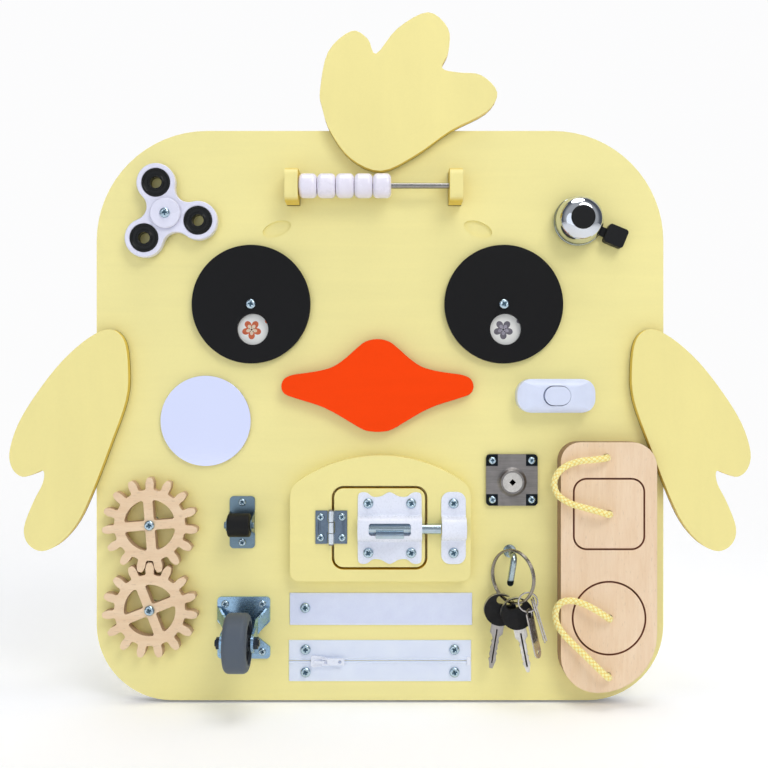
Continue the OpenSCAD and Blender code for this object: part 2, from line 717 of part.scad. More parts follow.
// The shoulders between the arch and the sides are rounded.
shoulder_x = panel_half - panel_shoulder_r;
shoulder_y = arch_low + sqrt((arch_r - panel_shoulder_r) ^ 2 - shoulder_x ^ 2);
shoulder_turn = atan2(shoulder_y - arch_low, shoulder_x);
function panel_points() = concat(
    arc([panel_x + shoulder_x, shoulder_y], panel_shoulder_r, 0, shoulder_turn, 6),
    arc([panel_x, arch_low], arch_r, shoulder_turn + 1, 179 - shoulder_turn, 24),
    arc([panel_x - shoulder_x, shoulder_y], panel_shoulder_r, 180 - shoulder_turn, 180, 6),
    arc([panel_x - panel_half + panel_corner_r, panel_bottom + panel_corner_r], panel_corner_r, 180, 270),
    arc([panel_x + panel_half - panel_corner_r, panel_bottom + panel_corner_r], panel_corner_r, 270, 360));
module door_panel() color("#f1e6a0") on_face(0, 0) difference() {
    linear_extrude(panel_t) difference() {
        polygon(panel_points());
        translate([doorway_x, doorway_z]) rounded_rect(doorway_w, doorway_h, doorway_r);
    }
    pilots(panel_screws, panel_t + bite, panel_t + 1);
}
module door_leaf() color("#f1e6a0") on_face(0, 0) difference() {
    translate([doorway_x, doorway_z, door_back_gap]) linear_extrude(door_t)
        rounded_rect(door_w, door_h, doorway_r - door_slit);
    pilots(leaf_screws, panel_t + bite, panel_t + 1);
}

// ---- Butt hinge: three knuckles on one pin ----
knuckle_l = hinge_leaf_h / 3;
knuckle_gap = 0.3;
module at_hinge() on_face(hinge_x, hinge_z) translate([0, 0, panel_t]) children();
// One knuckle with the tongue that joins it to a leaf on the side s.
module knuckle(from, l, s) {
    translate([0, from, hinge_knuckle_r]) rotate([-90, 0, 0]) cylinder(r = hinge_knuckle_r, h = l);
    translate([s > 0 ? 0 : -hinge_knuckle_r - 1, from, 0]) cube([hinge_knuckle_r + 1, l, hinge_leaf_t]);
}
module hinge_leaf(s) difference() {
    union() {
        translate([s * (hinge_leaf_w + hinge_knuckle_r + 0.4) / 2, 0, 0]) linear_extrude(hinge_leaf_t)
            square([hinge_leaf_w - hinge_knuckle_r - 0.4, hinge_leaf_h], center = true);
        children();
    }
    translate([0, -hinge_leaf_h, hinge_knuckle_r]) rotate([-90, 0, 0])
        cylinder(r = hinge_pin_r + run, h = 2 * hinge_leaf_h);
    for (j = [-1, 1]) translate([s * hinge_screw_dx, j * hinge_screw_dz, -1]) cylinder(r = pilot_r, h = 4);
}
module hinge_frame_leaf() color("#8e939b") at_hinge() hinge_leaf(-1)
    knuckle(knuckle_gap / 2 - knuckle_l / 2, knuckle_l - knuckle_gap, -1);
module hinge_door_leaf() color("#8e939b") at_hinge() hinge_leaf(1) {
    knuckle(knuckle_l / 2 + knuckle_gap / 2, knuckle_l - knuckle_gap / 2, 1);
    knuckle(-hinge_leaf_h / 2, knuckle_l - knuckle_gap / 2, 1);
}
hinge_pin_head = 0.5;
module hinge_pin() color("#a9adb3") at_hinge() translate([0, 0, hinge_knuckle_r]) rotate([-90, 0, 0]) {
    cylinder(r = hinge_pin_r, h = hinge_leaf_h + 2 * slip + hinge_pin_head, center = true);
    for (s = [-1, 1]) translate([0, 0, s * (hinge_leaf_h + hinge_pin_head + 2 * slip) / 2])
        cylinder(r = hinge_knuckle_r - 0.5, h = hinge_pin_head, center = true);
}

// ---- Barrel bolt ----
hump_half = 9.6;
hump_h = bolt_h - panel_t + bolt_rod_r + 1.4;
// Section of a pressed hump over the rod, with hollow feet that run into the plate.
hump_foot = 2;
function hump_points(half, h, n = 20) = concat([[half + hump_foot, 0], [half + hump_foot, bolt_plate_t]],
    arc([half + hump_foot, bolt_plate_t + hump_foot], hump_foot, 270, 180, 4),
    [for (i = [1:n - 1]) [half * cos(180 * i / n), bolt_plate_t + hump_foot
        + (h - bolt_plate_t - hump_foot) * sin(180 * i / n) ^ 0.8]],
    arc([-half - hump_foot, bolt_plate_t + hump_foot], hump_foot, 0, -90, 4),
    [[-half - hump_foot, bolt_plate_t], [-half - hump_foot, 0]]);
module hump(l, half, h = hump_h) rotate([90, 0, 90]) translate([0, 0, -l / 2]) linear_extrude(l)
    polygon(hump_points(half, h));
module at_bolt(x) on_face(x, bolt_z) translate([0, 0, panel_t]) children();
module rod_along(r, from, to) translate([from, 0, bolt_h - panel_t]) rotate([0, 90, 0])
    cylinder(r = r, h = to - from);

// Quarter of the scalloped plate's edge, from the middle of a side to the cusp on top.
scallop = [[1, 0.2], [1, 0.62], [0.99, 0.9], [0.93, 0.98], [0.8, 1], [0.68, 0.97], [0.56, 0.885],
    [0.42, 0.865], [0.26, 0.89], [0.14, 0.95]];
function scalloped(w, h) = let (q = [for (p = scallop) [p[0] * w / 2, p[1] * h / 2]], n = len(q))
    concat(q, [[0, h / 2]], [for (i = [n - 1:-1:0]) [-q[i][0], q[i][1]]],
        [for (p = q) -p], [[0, -h / 2]], [for (i = [n - 1:-1:0]) [q[i][0], -q[i][1]]]);
module bolt_housing() color("#f2f1f6") at_bolt(bolt_x) difference() {
    union() {
        linear_extrude(bolt_plate_t) polygon(closed_spline(scalloped(bolt_plate_w, bolt_plate_h), 3));
        hump(bolt_plate_w, hump_half);
    }
    rod_along(bolt_rod_r + run, -bolt_plate_w, bolt_plate_w);
    translate([0, 0, bolt_h - panel_t]) linear_extrude(4 * bolt_rod_r)
        rounded_rect(bolt_slot_l, bolt_slot_w, 2.2);
    for (p = four(0, 0, bolt_screw_dx, bolt_screw_dz)) translate([p[0], p[1], -1])
        cylinder(r = pilot_r, h = 2 * bolt_plate_t + 1);
}
bolt_tab_t = 2.2;
bolt_tab_out = 12.5;
bolt_tab_lean = 22;
bolt_tail = 21;
module bolt_rod() color("#b4b7bc") at_bolt(bolt_x) {
    rod_along(bolt_rod_r, -bolt_tail, keeper_x - keeper_w / 2 - rod_short - bolt_x);
    translate([-bolt_tab_l / 2, 0, bolt_h - panel_t]) rotate([bolt_tab_lean, 0, 0])
        translate([0, -bolt_tab_t / 2, 0]) cube([bolt_tab_l, bolt_tab_t, bolt_tab_out]);
}
keeper_play = 1.5;
keeper_rise = 1;
module keeper() color("#f2f1f6") at_bolt(keeper_x) difference() {
    union() {
        linear_extrude(bolt_plate_t) rounded_rect(keeper_w, keeper_h, keeper_round);
        hump(keeper_w, hump_half - 0.6, hump_h + keeper_rise);
    }
    rod_along(bolt_rod_r + keeper_play, -keeper_w, keeper_w);
    translate([-keeper_w, -bolt_rod_r - keeper_play, -1])
        cube([2 * keeper_w, 2 * (bolt_rod_r + keeper_play), bolt_h - panel_t + 1]);
    for (j = [-1, 1]) translate([0, j * bolt_screw_dz, -1]) cylinder(r = pilot_r, h = 2 * bolt_plate_t + 1);
}

// ---- Hook-and-loop strip and zipper ----
module loop_strip() color("#ececf7") on_face(0, 0) difference() {
    translate([strip_x, strip_z, 0]) linear_extrude(strip_t) square([tape_l, strip_w], center = true);
    pilots(strip_screws, 4 * strip_t, 5 * strip_t);
}
module zipper_tapes() color("#ededf8") on_face(zipper_x, zipper_z) for (j = [-1, 1]) difference() {
    mirror([0, j < 0 ? 1 : 0, 0]) translate([-tape_l / 2, 0, 0]) {
        translate([0, 0.15, 0]) cube([tape_l, zipper_w / 2 - 0.15, zipper_tape_t]);
        translate([0, 0.15, 0]) cube([tape_l, zipper_tooth_w / 2 - 0.15, zipper_tooth_h]);
    }
    for (i = [-1, 1]) translate([i * zipper_screw_dx, j * zipper_screw_dz, -1])
        cylinder(r = pilot_r, h = 3);
}
slider_l = 13.6;
slider_w = 9;
slider_nose_w = 6.4;
slider_roof_t = 1.2;
slider_roof = zipper_tooth_h + slip;
bridge_w = 2;
bridge_l = 8;
bridge_t = 0.8;
bridge_h = 2.6;
pull_bar_r = 0.6;
pull_l = 17;
pull_w = 5.4;
pull_t = 1;
pull_bar_x = bridge_l / 2 - 1.7;
pull_bar_h = slider_roof + slider_roof_t + 0.3 + pull_bar_r;
module at_slider() on_face(zipper_slider_x, zipper_z) children();
module zipper_slider() color("#f0f0fa") at_slider() {
    difference() {
        translate([0, 0, zipper_tape_t + slip]) linear_extrude(slider_roof + slider_roof_t - zipper_tape_t - slip)
            polygon(concat(arc([-slider_l / 2 + 2, slider_w / 2 - 2], 2, 90, 180, 4),
                arc([-slider_l / 2 + 2, 2 - slider_w / 2], 2, 180, 270, 4),
                arc([slider_l / 2 - 2, 2 - slider_nose_w / 2], 2, 270, 360, 4),
                arc([slider_l / 2 - 2, slider_nose_w / 2 - 2], 2, 0, 90, 4)));
        translate([-slider_l, -zipper_tooth_w / 2 - slip, -1])
            cube([2 * slider_l, zipper_tooth_w + 2 * slip, slider_roof + 1]);
    }
    translate([-bridge_l / 2, -bridge_w / 2, slider_roof + slider_roof_t - bite]) difference() {
        cube([bridge_l, bridge_w, bridge_h]);
        translate([bridge_t, -1, -1]) cube([bridge_l - 2 * bridge_t, bridge_w + 2, bridge_h - bridge_t + 1]);
    }
}
module zipper_pull() color("#f0f0fa") at_slider() translate([pull_bar_x, 0, pull_bar_h]) {
    rotate([90, 0, 0]) cylinder(r = pull_bar_r, h = pull_w, center = true);
    translate([0, 0, -pull_t / 2]) linear_extrude(pull_t) difference() {
        translate([0, -pull_w / 2]) square([pull_l, pull_w]);
        translate([-1, -bridge_w / 2 - 0.5]) square([4.6, bridge_w + 1]);
        translate([pull_l - 3.4, 0]) circle(r = 1.3);
    }
}

// ---- Gear pair ----
base_r = pitch_r * cos(gear_pressure);
gear_tip_r = pitch_r + gear_addendum;
gear_root_r = pitch_r - gear_dedendum;
function involute_turn(r) = let (a = acos(min(1, base_r / r))) tan(a) * 180 / PI - a;
// Half the angle that a tooth fills at radius r.
tooth_half = 90 / gear_teeth - gear_play / pitch_r * 180 / PI / 4;
function flank_turn(r) = tooth_half + involute_turn(pitch_r) - involute_turn(max(r, base_r));
flank_steps = 6;
function flank() = concat(
    [[gear_root_r, flank_turn(base_r) + 3.2], [gear_root_r + 0.35, flank_turn(base_r) + 1.2],
        [gear_root_r + 1.3, flank_turn(base_r) + 0.2]],
    [for (i = [0:flank_steps]) let (r = base_r + (gear_tip_r - 1.1 - base_r) * i / flank_steps) [r, flank_turn(r)]],
    [[gear_tip_r - 0.4, flank_turn(gear_tip_r - 1.1) - 0.7], [gear_tip_r, flank_turn(gear_tip_r - 1.1) - 1.9]]);
function gear_points(phase) = [for (k = [0:gear_teeth - 1], s = [-1, 1],
    i = [0:len(flank()) - 1]) let (f = flank()[s < 0 ? i : len(flank()) - 1 - i],
        a = phase + 360 * k / gear_teeth + s * f[1]) f[0] * [cos(a), sin(a)]];
gear_window_round = 1.6;
// One of the four windows between the rim and two spokes, in the first quarter, with rounded corners.
function window_points() = let (q = gear_window_round, o = spoke_w / 2 + q, a = asin(o / (gear_rim_r - q)))
    concat(arc((gear_rim_r - q) * [cos(a), sin(a)], q, -90, a, 4),
        arc([0, 0], gear_rim_r, a, 90 - a, 8),
        arc((gear_rim_r - q) * [sin(a), cos(a)], q, 90 - a, 180, 4),
        arc([o, o], q, 180, 270, 4));
module gear(place, phase, spokes) on_face(place[0], place[1]) translate([0, 0, gear_lift]) difference() {
    linear_extrude(gear_t) polygon(gear_points(phase));
    for (k = [0:3]) rotate(spokes + 90 * k) translate([0, 0, -1]) linear_extrude(gear_t + 2)
        polygon(window_points());
    translate([0, 0, -1]) cylinder(r = gear_pin_r + run, h = gear_t + 2);
}
// The upper gear has a gap at the bottom, where the lower gear's top tooth runs in.
module upper_gear() color("#dcb28c") gear(gear_places[0], 90, 4.5);
module lower_gear() color("#dcb28c") gear(gear_places[1], 90, 21.5);

// ---- Small roller ----
cheek_base = 18;
cheek_r = 4.6;
rivet_r = 1.5;
module roller_bracket() color("#9a9da3") on_face(roller_x, roller_z) {
    difference() {
        union() {
            linear_extrude(roller_plate_t) rounded_rect(roller_plate_w, roller_plate_h, 3);
            for (i = [-1, 1]) translate([i * (roller_plate_w - cheek_t) / 2 - cheek_t / 2, 0, 0])
                rotate([90, 0, 90]) linear_extrude(cheek_t) polygon(concat([[cheek_base / 2, 0]],
                    arc([0, roller_h], cheek_r, 12, 168, 10), [[-cheek_base / 2, 0]]));
        }
        translate([-roller_plate_w, 0, roller_h]) rotate([0, 90, 0])
            cylinder(r = rivet_r + 0.05, h = 2 * roller_plate_w);
        for (j = [-1, 1]) translate([0, j * roller_screw_dz, -1]) cylinder(r = pilot_r, h = 4);
    }
    translate([0, 0, roller_h]) rotate([0, 90, 0]) {
        cylinder(r = rivet_r, h = roller_plate_w + 0.2, center = true);
        for (i = [-1, 1]) translate([0, 0, i * (roller_plate_w / 2 + 0.75)])
            cylinder(r = 2.6, h = 1.5 - bite, center = true);
    }
}
// A wheel about the X axis from a half section of [radius, place along the axle] points.
module turned_wheel(points) rotate([0, 90, 0]) rotate_extrude() polygon(points);
function drum(r, w, bore, edge) = concat([[bore, -w / 2]], arc([r - edge, edge - w / 2], edge, -90, 0, 5),
    arc([r - edge, w / 2 - edge], edge, 0, 90, 5), [[bore, w / 2]]);
module roller_wheel() color("#1b1b1d") on_face(roller_x, roller_z) translate([0, 0, roller_h])
    turned_wheel(drum(roller_r, roller_w, rivet_r + run, 1.6));

// ---- Rigid caster: a fork pressed from one sheet, a wheel core, a tyre, a bolt and its nut ----
leg_x = caster_w / 2 + caster_gap;
leg_bend_h = 13;
leg_foot_x = caster_plate_w / 2 - fork_t;
leg_end_r = 7;
leg_foot_y = 20;
// Section of one leg: out from the plate's edge, in towards the wheel, then straight to the axle.
function leg_section(s) = [for (p = [[leg_foot_x, 0], [leg_foot_x + fork_t, 0], [leg_foot_x + fork_t, 2.5],
    [leg_x + fork_t, leg_bend_h], [leg_x + fork_t, caster_axle_h + leg_end_r + 1],
    [leg_x, caster_axle_h + leg_end_r + 1], [leg_x, leg_bend_h], [leg_foot_x, 2.5]]) [s * p[0], p[1]]];
// Side view of a leg: wide at the plate, drawn in by two hollow curves, round at the axle.
function leg_side() = concat(
    open_spline([[leg_foot_y, 0], [leg_foot_y - 1, 4], [leg_foot_y - 6.5, 11], [leg_end_r + 2, 21],
        [leg_end_r + 0.2, caster_axle_h - 3]], 4),
    arc([0, caster_axle_h], leg_end_r, 0, 180, 14),
    open_spline([[-leg_end_r, caster_axle_h - 3], [-leg_end_r + 0.5, 26], [-2, 16], [leg_foot_y - 11.5, 5],
        [leg_foot_y - 11, 0]], 4));
// The plate, cut away at both sides where the legs were folded up.
caster_notch = [[0, 1], [-11, -10], [0, -19]];
function caster_plate_half() = concat(arc([caster_plate_w / 2 - 3, caster_plate_h / 2 - 3], 3, 90, 0),
    [for (p = caster_notch) [caster_plate_w / 2 + p[0], caster_notch_y + p[1]]],
    arc([caster_plate_w / 2 - 3, 3 - caster_plate_h / 2], 3, 0, -90));
caster_notch_y = 4;
module caster_plate() let (half = caster_plate_half()) polygon(concat(half,
    [for (i = [len(half) - 1:-1:0]) [-half[i][0], half[i][1]]]));
module caster_fork() color("#8f9aa5") on_face(caster_x, caster_z) difference() {
    union() {
        linear_extrude(caster_plate_t) caster_plate();
        for (s = [-1, 1]) intersection() {
            rotate([90, 0, 0]) translate([0, 0, -caster_plate_h / 2]) linear_extrude(caster_plate_h)
                polygon(leg_section(s));
            translate([-caster_plate_w, -caster_drop, 0]) rotate([90, 0, 90])
                linear_extrude(2 * caster_plate_w) polygon(leg_side());
        }
    }
    translate([-caster_plate_w, -caster_drop, caster_axle_h]) rotate([0, 90, 0])
        cylinder(r = caster_axle_r + 0.05, h = 2 * caster_plate_w);
    for (p = four(0, 0, caster_screw_dx, caster_screw_dz)) translate([p[0], p[1], -1])
        cylinder(r = pilot_r, h = 4);
}
module at_axle() on_face(caster_x, caster_z) translate([0, -caster_drop, caster_axle_h]) children();
tyre_t = 6;
core_r = caster_r - tyre_t;
core_web = 7;
module caster_wheel() color("#5d5f63") at_axle() turned_wheel([
    [caster_axle_r + run, -caster_w / 2 + 0.5], [caster_axle_r + 3.5, -caster_w / 2 + 0.5],
    [caster_axle_r + 3.5, -core_web / 2], [core_r - 2.5, -core_web / 2], [core_r - 2.5, -caster_w / 2 + 1.5],
    [core_r, -caster_w / 2 + 1.5], [core_r, caster_w / 2 - 1.5], [core_r - 2.5, caster_w / 2 - 1.5],
    [core_r - 2.5, core_web / 2], [caster_axle_r + 3.5, core_web / 2],
    [caster_axle_r + 3.5, caster_w / 2 - 0.5], [caster_axle_r + run, caster_w / 2 - 0.5]]);
module caster_tyre() color("#77797c") at_axle() turned_wheel(drum(caster_r, caster_w, core_r + 0.05, 4));
nut_t = 3;
module caster_axle() color("#b5bac0") at_axle() rotate([0, 90, 0]) {
    cylinder(r = caster_axle_r, h = 2 * (leg_x + fork_t + nut_t + 1), center = true);
    for (s = [-1, 1]) translate([0, 0, s * (leg_x + fork_t + nut_t / 2)])
        cylinder(r = 4.6, h = nut_t - 2 * bite, center = true, $fn = 6);
}

// ---- Keys on a split ring ----
module key_hook() color("#c3c6c9") on_face(hook_x, hook_z) {
    translate([0, 0, -screw_depth]) cylinder(r = hook_wire_r, h = screw_depth + hook_out - hook_bend);
    cylinder(r = 2 * hook_wire_r, h = hook_collar_t);
    rotate(hook_lean) translate([0, -hook_bend, hook_out - hook_bend]) rotate([0, 90, 0]) rotate(90)
        rotate_extrude(angle = 90) translate([hook_bend, 0]) circle(r = hook_wire_r);
    rotate(hook_lean) translate([0, -hook_bend, hook_out]) rotate([90, 0, 0]) rotate_extrude()
        polygon(concat([[0, 0], [hook_wire_r, 0]], [for (i = [0:6]) [hook_wire_r * cos(15 * i),
            hook_leg - hook_bend + (i > 0 ? hook_wire_r * sin(15 * i) : 0)]]));
}
hook_collar_t = 1.4;
ring_turn_gap = 0.75;
module key_ring() color("#b8b6b0") on_face(hook_x, hook_z) translate([0, ring_z, ring_h])
    rotate([0, -ring_tilt, 0]) rotate_extrude($fn = 64) for (j = [-1, 1])
        translate([ring_r, j * ring_turn_gap]) circle(r = ring_wire_r, $fn = 24);

// Where the ring passes through height h over the board: [x, y] from the hook.
function on_ring(h) = let (t = (h - ring_h) / sin(ring_tilt))
    [t * cos(ring_tilt), ring_z - sqrt(ring_r ^ 2 - t ^ 2)];
slot_w = 12.8;
slot_h = 6.8;
slot_up = 7;
slot_over = 3.9;
blade_l = 34;
shoulder_w = 9.6;
shoulder_l = 9;
blade_w = 6;
blade_t = 2;
// Both edges of a blade, cut in steps like a laser-cut key.
function cuts(i) = 0.55 * (1 + sin(137 * i)) * (i % 2 == 0 ? 1 : 0.55);
cut_count = 12;
function blade_points() = let (l = blade_l - shoulder_l, n = cut_count)
    concat([[shoulder_w / 2, 2], [shoulder_w / 2, -shoulder_l + 2], [blade_w / 2, -shoulder_l]],
        [for (i = [0:n - 1]) [blade_w / 2 - cuts(i), -shoulder_l - (i + 0.5) * (l - 4) / n]],
        [[1.2, -blade_l], [-1.2, -blade_l]],
        [for (i = [n - 1:-1:0]) [cuts(i + 5) - blade_w / 2, -shoulder_l - (i + 0.5) * (l - 4) / n]],
        [[-blade_w / 2, -shoulder_l], [-shoulder_w / 2, -shoulder_l + 2], [-shoulder_w / 2, 2]]);
// A key hung on the ring at height h, leaning by the angle, its slot shifted along by the offset.
module hung_key(h, lean, offset) on_face(hook_x, hook_z)
    translate([on_ring(h)[0], on_ring(h)[1] - ring_wire_r, h - bow_t / 2]) rotate(lean)
        translate([offset, -slot_up, 0]) {
            difference() {
                union() {
                    cylinder(r = bow_r, h = bow_t);
                    translate([0, 3 - bow_r, (bow_t - blade_t) / 2]) linear_extrude(blade_t) difference() {
                        translate([0, -2]) polygon(blade_points());
                        translate([-0.5, -blade_l + 2]) square([1, blade_l - 8]);
                    }
                }
                translate([-offset * 0.7, slot_up - slot_h / 2 + slot_over, -1]) linear_extrude(bow_t + 2)
                    stadium(slot_w, slot_h);
            }
        }
back_h = 13.5;
front_h = 19.5;
flat_h = 28.6;
module back_key() color("#1c1c1e") hung_key(back_h, -9, -3.4);
module front_key() color("#1c1c1e") hung_key(front_h, 11, 0.6);
// The small ring hangs on the large one; two slim keys and a broad one hang on it.
small_ring_r = 7.2;
small_ring_t = 1.2;
small_ring_drop = [0.6, 2.6];
small_ring_at = [on_ring(flat_h)[0] + small_ring_drop[0], on_ring(flat_h)[1] - small_ring_drop[1], flat_h];
key_sheet_t = 1;
slim_key_l = 35;
slim_key_w = 7;
slim_hole_up = 9;
broad_key_l = 38;
broad_key_w = 9;
function key_hole(w) = w / 2 - 1.6;
module key_sheet(l, w, hole) linear_extrude(key_sheet_t, center = true) difference() {
    translate([0, hole - l / 2]) rounded_rect(w, l, w / 2 - bite);
    circle(r = key_hole(w));
    translate([0, hole - l + w / 2]) circle(r = w / 6);
}
// Hangs a key on the small ring at a turn round it: leaning, spun, and sagging until its hole rests there.
module on_small_ring(turn, lean, spin, sag) rotate(turn) translate([small_ring_r, 0, 0])
    rotate(lean - turn) translate([0, -sag, 0]) rotate([0, spin, 0]) children();
module flat_keys() color("#b9b5ad") on_face(hook_x, hook_z) translate(small_ring_at) {
    rotate_extrude($fn = 48) translate([small_ring_r, 0]) rounded_rect(small_ring_t, small_ring_t, 0.4);
    for (k = slim_keys) on_small_ring(k[0], k[1], 90, 0.5) key_sheet(slim_key_l, slim_key_w, slim_hole_up);
    on_small_ring(-84, 12, 52, key_hole(broad_key_w) - small_ring_t / 2 - slip)
        key_sheet(broad_key_l, broad_key_w, broad_key_w / 2);
}
slim_keys = [[-33, 17], [-48, 17]];

// ---- Shape sorter ----
rope_ends = [[-2, 84.2], [-1, -82.8]];
module at_sorter() on_face(sorter_x, sorter_z) children();
module sorter_panel() color("#ecd4ba") at_sorter() difference() {
    linear_extrude(sorter_t) difference() {
        polygon(rect_points(sorter_w, sorter_h, sorter_radii));
        translate([0, square_z]) rounded_rect(square_w + 2 * shape_gap, square_w + 2 * shape_gap,
            square_corner + shape_gap);
    }
    translate([0, circle_z, -1]) cylinder(r = circle_r + shape_gap, h = sorter_t + 2);
    for (p = rope_ends) translate([p[0], p[1], rope_hole_end]) cylinder(r = rope_hole_r, h = sorter_t);
}
module square_shape() color("#ecd4ba") at_sorter() difference() {
    translate([0, square_z, slip]) linear_extrude(sorter_t - slip) rounded_rect(square_w, square_w, square_corner);
    translate([0, square_z, rope_hole_end]) cylinder(r = rope_hole_r, h = sorter_t);
}
module circle_shape() color("#ecd4ba") at_sorter() difference() {
    translate([0, circle_z, slip]) cylinder(r = circle_r, h = sorter_t - slip);
    translate([0, circle_z, rope_hole_end]) cylinder(r = rope_hole_r, h = sorter_t);
}

// Rope routes: [x, height above the board's centre, height over the board's front].
upper_route = [[173, -31.5, 10], [173, -31.5, 13.5], [172.6, -31.5, 19.5], [168.5, -31.8, 23.6], [161, -32.6, 24], [151, -34, 21],
    [141, -38, 19], [134.5, -44.5, 18], [132.5, -52, 18], [135.5, -60, 18.5], [144.5, -66, 20],
    [155, -69, 23], [164.5, -71.5, 24.5], [171.5, -73.8, 22.6], [174.6, -74.6, 19], [175, -74.7, 14], [175, -74.7, 10]];
lower_route = [[174, -198.5, 10], [174, -198.5, 14], [173.9, -198.5, 19], [171.5, -196.5, 22.8], [165, -190.3, 24.2],
    [157, -182.5, 23], [148.5, -174.5, 20.5], [140, -166, 18.5], [134.3, -157, 18], [133.8, -148, 18],
    [138, -141.5, 18.5], [146, -139.8, 20], [155, -142, 22.5], [163.5, -146.3, 24], [170.5, -151, 22.8],
    [174.5, -154, 19], [175, -154.3, 14], [175, -154.3, 10]];
module rope(route) on_face(0, 0) tube(open_spline(route, 3), rope_r, 8, [1, 0, 0]);
module upper_rope() color("#ecd25a") rope(upper_route);
module lower_rope() color("#ecd25a") rope(lower_route);

// ---- Wall hangers and screws ----
module hanger_plates() color("#b0b3b8") for (i = [-1, 1])
    translate([i * hanger_dx, 0, hanger_z]) rotate([90, 0, 0]) linear_extrude(hanger_t) difference() {
        hanger_outline(0);
        keyhole();
    }
module screws(places, depth) for (p = places) translate([p[0], p[1], p[2]])
    pan_screw(p[3], p[4], depth);
module board_screws() color("#b5bcc6") on_face(0, 0) {
    screws(board_held, screw_depth);
    screws(panel_screws, panel_t);
    for (p = eye_places) translate([p[0], p[1], 0]) pivot_screw(eye_pin_r, eye_seat);
    for (p = gear_places) translate([p[0], p[1], 0]) {
        pivot_screw(gear_pin_r, gear_seat);
        difference() {
            cylinder(r = 2 * gear_pin_r, h = gear_lift - slip);
            translate([0, 0, -1]) cylinder(r = gear_pin_r + 0.05, h = gear_lift + 1);
        }
    }
    translate([spinner_x, spinner_z, spinner_seat]) pan_screw(depth = spinner_seat + screw_depth);
}
module door_screws() color("#b5bcc6") on_face(0, 0) screws(leaf_screws, door_t);

board();
tuft();
wings();
beak();
mirror_disc();
abacus_posts();
abacus_rod();
bead(0);  // bead_1
bead(1);  // bead_2
bead(2);  // bead_3
bead(3);  // bead_4
bead(4);  // bead_5
eye_cards();
eye_disc(eye_places[0]);  // left_eye_disc
eye_disc(eye_places[1]);  // right_eye_disc
spinner_body();
spinner_weights();
spinner_cap();
spinner_bearing();
bell_base();
bell_dome();
bell_cap();
bell_lever();
switch_housing();
switch_rocker();
lock_body();
lock_plug();
door_panel();
door_leaf();
hinge_frame_leaf();
hinge_door_leaf();
hinge_pin();
bolt_housing();
bolt_rod();
keeper();
loop_strip();
zipper_tapes();
zipper_slider();
zipper_pull();
upper_gear();
lower_gear();
roller_bracket();
roller_wheel();
caster_fork();
caster_wheel();
caster_tyre();
caster_axle();
key_hook();
key_ring();
back_key();
front_key();
flat_keys();
sorter_panel();
square_shape();
circle_shape();
upper_rope();
lower_rope();
hanger_plates();
board_screws();
door_screws();
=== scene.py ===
"""A wooden busy board in the shape of a chick: the looks of each piece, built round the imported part."""
import math
import random

import bmesh
import bpy
from mathutils import Matrix, Vector, noise


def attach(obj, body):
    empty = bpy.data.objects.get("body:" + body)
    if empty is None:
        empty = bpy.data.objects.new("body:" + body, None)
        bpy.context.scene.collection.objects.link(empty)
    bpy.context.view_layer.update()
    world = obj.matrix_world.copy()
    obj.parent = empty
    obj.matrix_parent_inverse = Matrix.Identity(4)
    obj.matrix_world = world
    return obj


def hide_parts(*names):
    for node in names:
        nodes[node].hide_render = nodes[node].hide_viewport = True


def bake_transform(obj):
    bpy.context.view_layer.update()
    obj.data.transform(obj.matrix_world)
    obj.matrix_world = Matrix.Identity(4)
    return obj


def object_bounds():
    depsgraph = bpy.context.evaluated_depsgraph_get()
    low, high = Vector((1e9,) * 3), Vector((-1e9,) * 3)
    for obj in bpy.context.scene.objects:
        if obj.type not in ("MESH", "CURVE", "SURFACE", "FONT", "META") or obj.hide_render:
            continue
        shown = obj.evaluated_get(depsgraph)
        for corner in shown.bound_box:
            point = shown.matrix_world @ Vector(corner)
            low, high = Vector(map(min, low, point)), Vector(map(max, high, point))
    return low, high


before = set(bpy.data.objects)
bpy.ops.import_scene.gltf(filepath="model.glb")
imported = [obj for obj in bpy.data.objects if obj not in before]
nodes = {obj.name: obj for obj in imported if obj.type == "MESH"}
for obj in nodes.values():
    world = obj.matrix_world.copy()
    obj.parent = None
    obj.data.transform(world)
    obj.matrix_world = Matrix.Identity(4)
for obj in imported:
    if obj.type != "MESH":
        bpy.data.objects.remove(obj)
cad_box = [list(corner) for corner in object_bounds()]

# ---- Board, tuft, wings and beak ----
# Plywood, 12 mm thick, under rolled satin paint, with faint grain and a fine stipple in it. Sawn walls
# are painted a deeper gold, as shade, with a thin dark line of painted contact shadow at the foot where a
# glued cut-out meets the board. The back of the board lies on the frame's origin.
MM = 0.001
FRONT = -12 * MM


class Wire:
    """One value in a node tree. Arithmetic on it adds Math nodes."""

    def __init__(self, shading, socket):
        self.shading = shading
        self.socket = socket

    def __add__(self, other):
        return self.shading.maths("ADD", self, other)

    def __sub__(self, other):
        return self.shading.maths("SUBTRACT", self, other)

    def __rsub__(self, other):
        return self.shading.maths("SUBTRACT", other, self)

    def __mul__(self, other):
        return self.shading.maths("MULTIPLY", self, other)

    def __abs__(self):
        return self.shading.maths("ABSOLUTE", self)

    __radd__ = __add__
    __rmul__ = __mul__

    def least(self, other):
        return self.shading.maths("MINIMUM", self, other)

    def most(self, other):
        return self.shading.maths("MAXIMUM", self, other)

    def far(self, other):
        """Length of the line that runs this far one way and other the way square to it."""
        return self.shading.maths("SQRT", self * self + other * other)

    def spread(self, low, high, to_low=0, to_high=1):
        """Moves the span from low to high onto the one from to_low to to_high, and holds it there."""
        return self.shading.node("MapRange", enumerate((self, low, high, to_low, to_high)))

    def above(self, edge, soft):
        """0 below the edge and 1 above it, with a soft step between."""
        return self.spread(edge - soft, edge + soft)


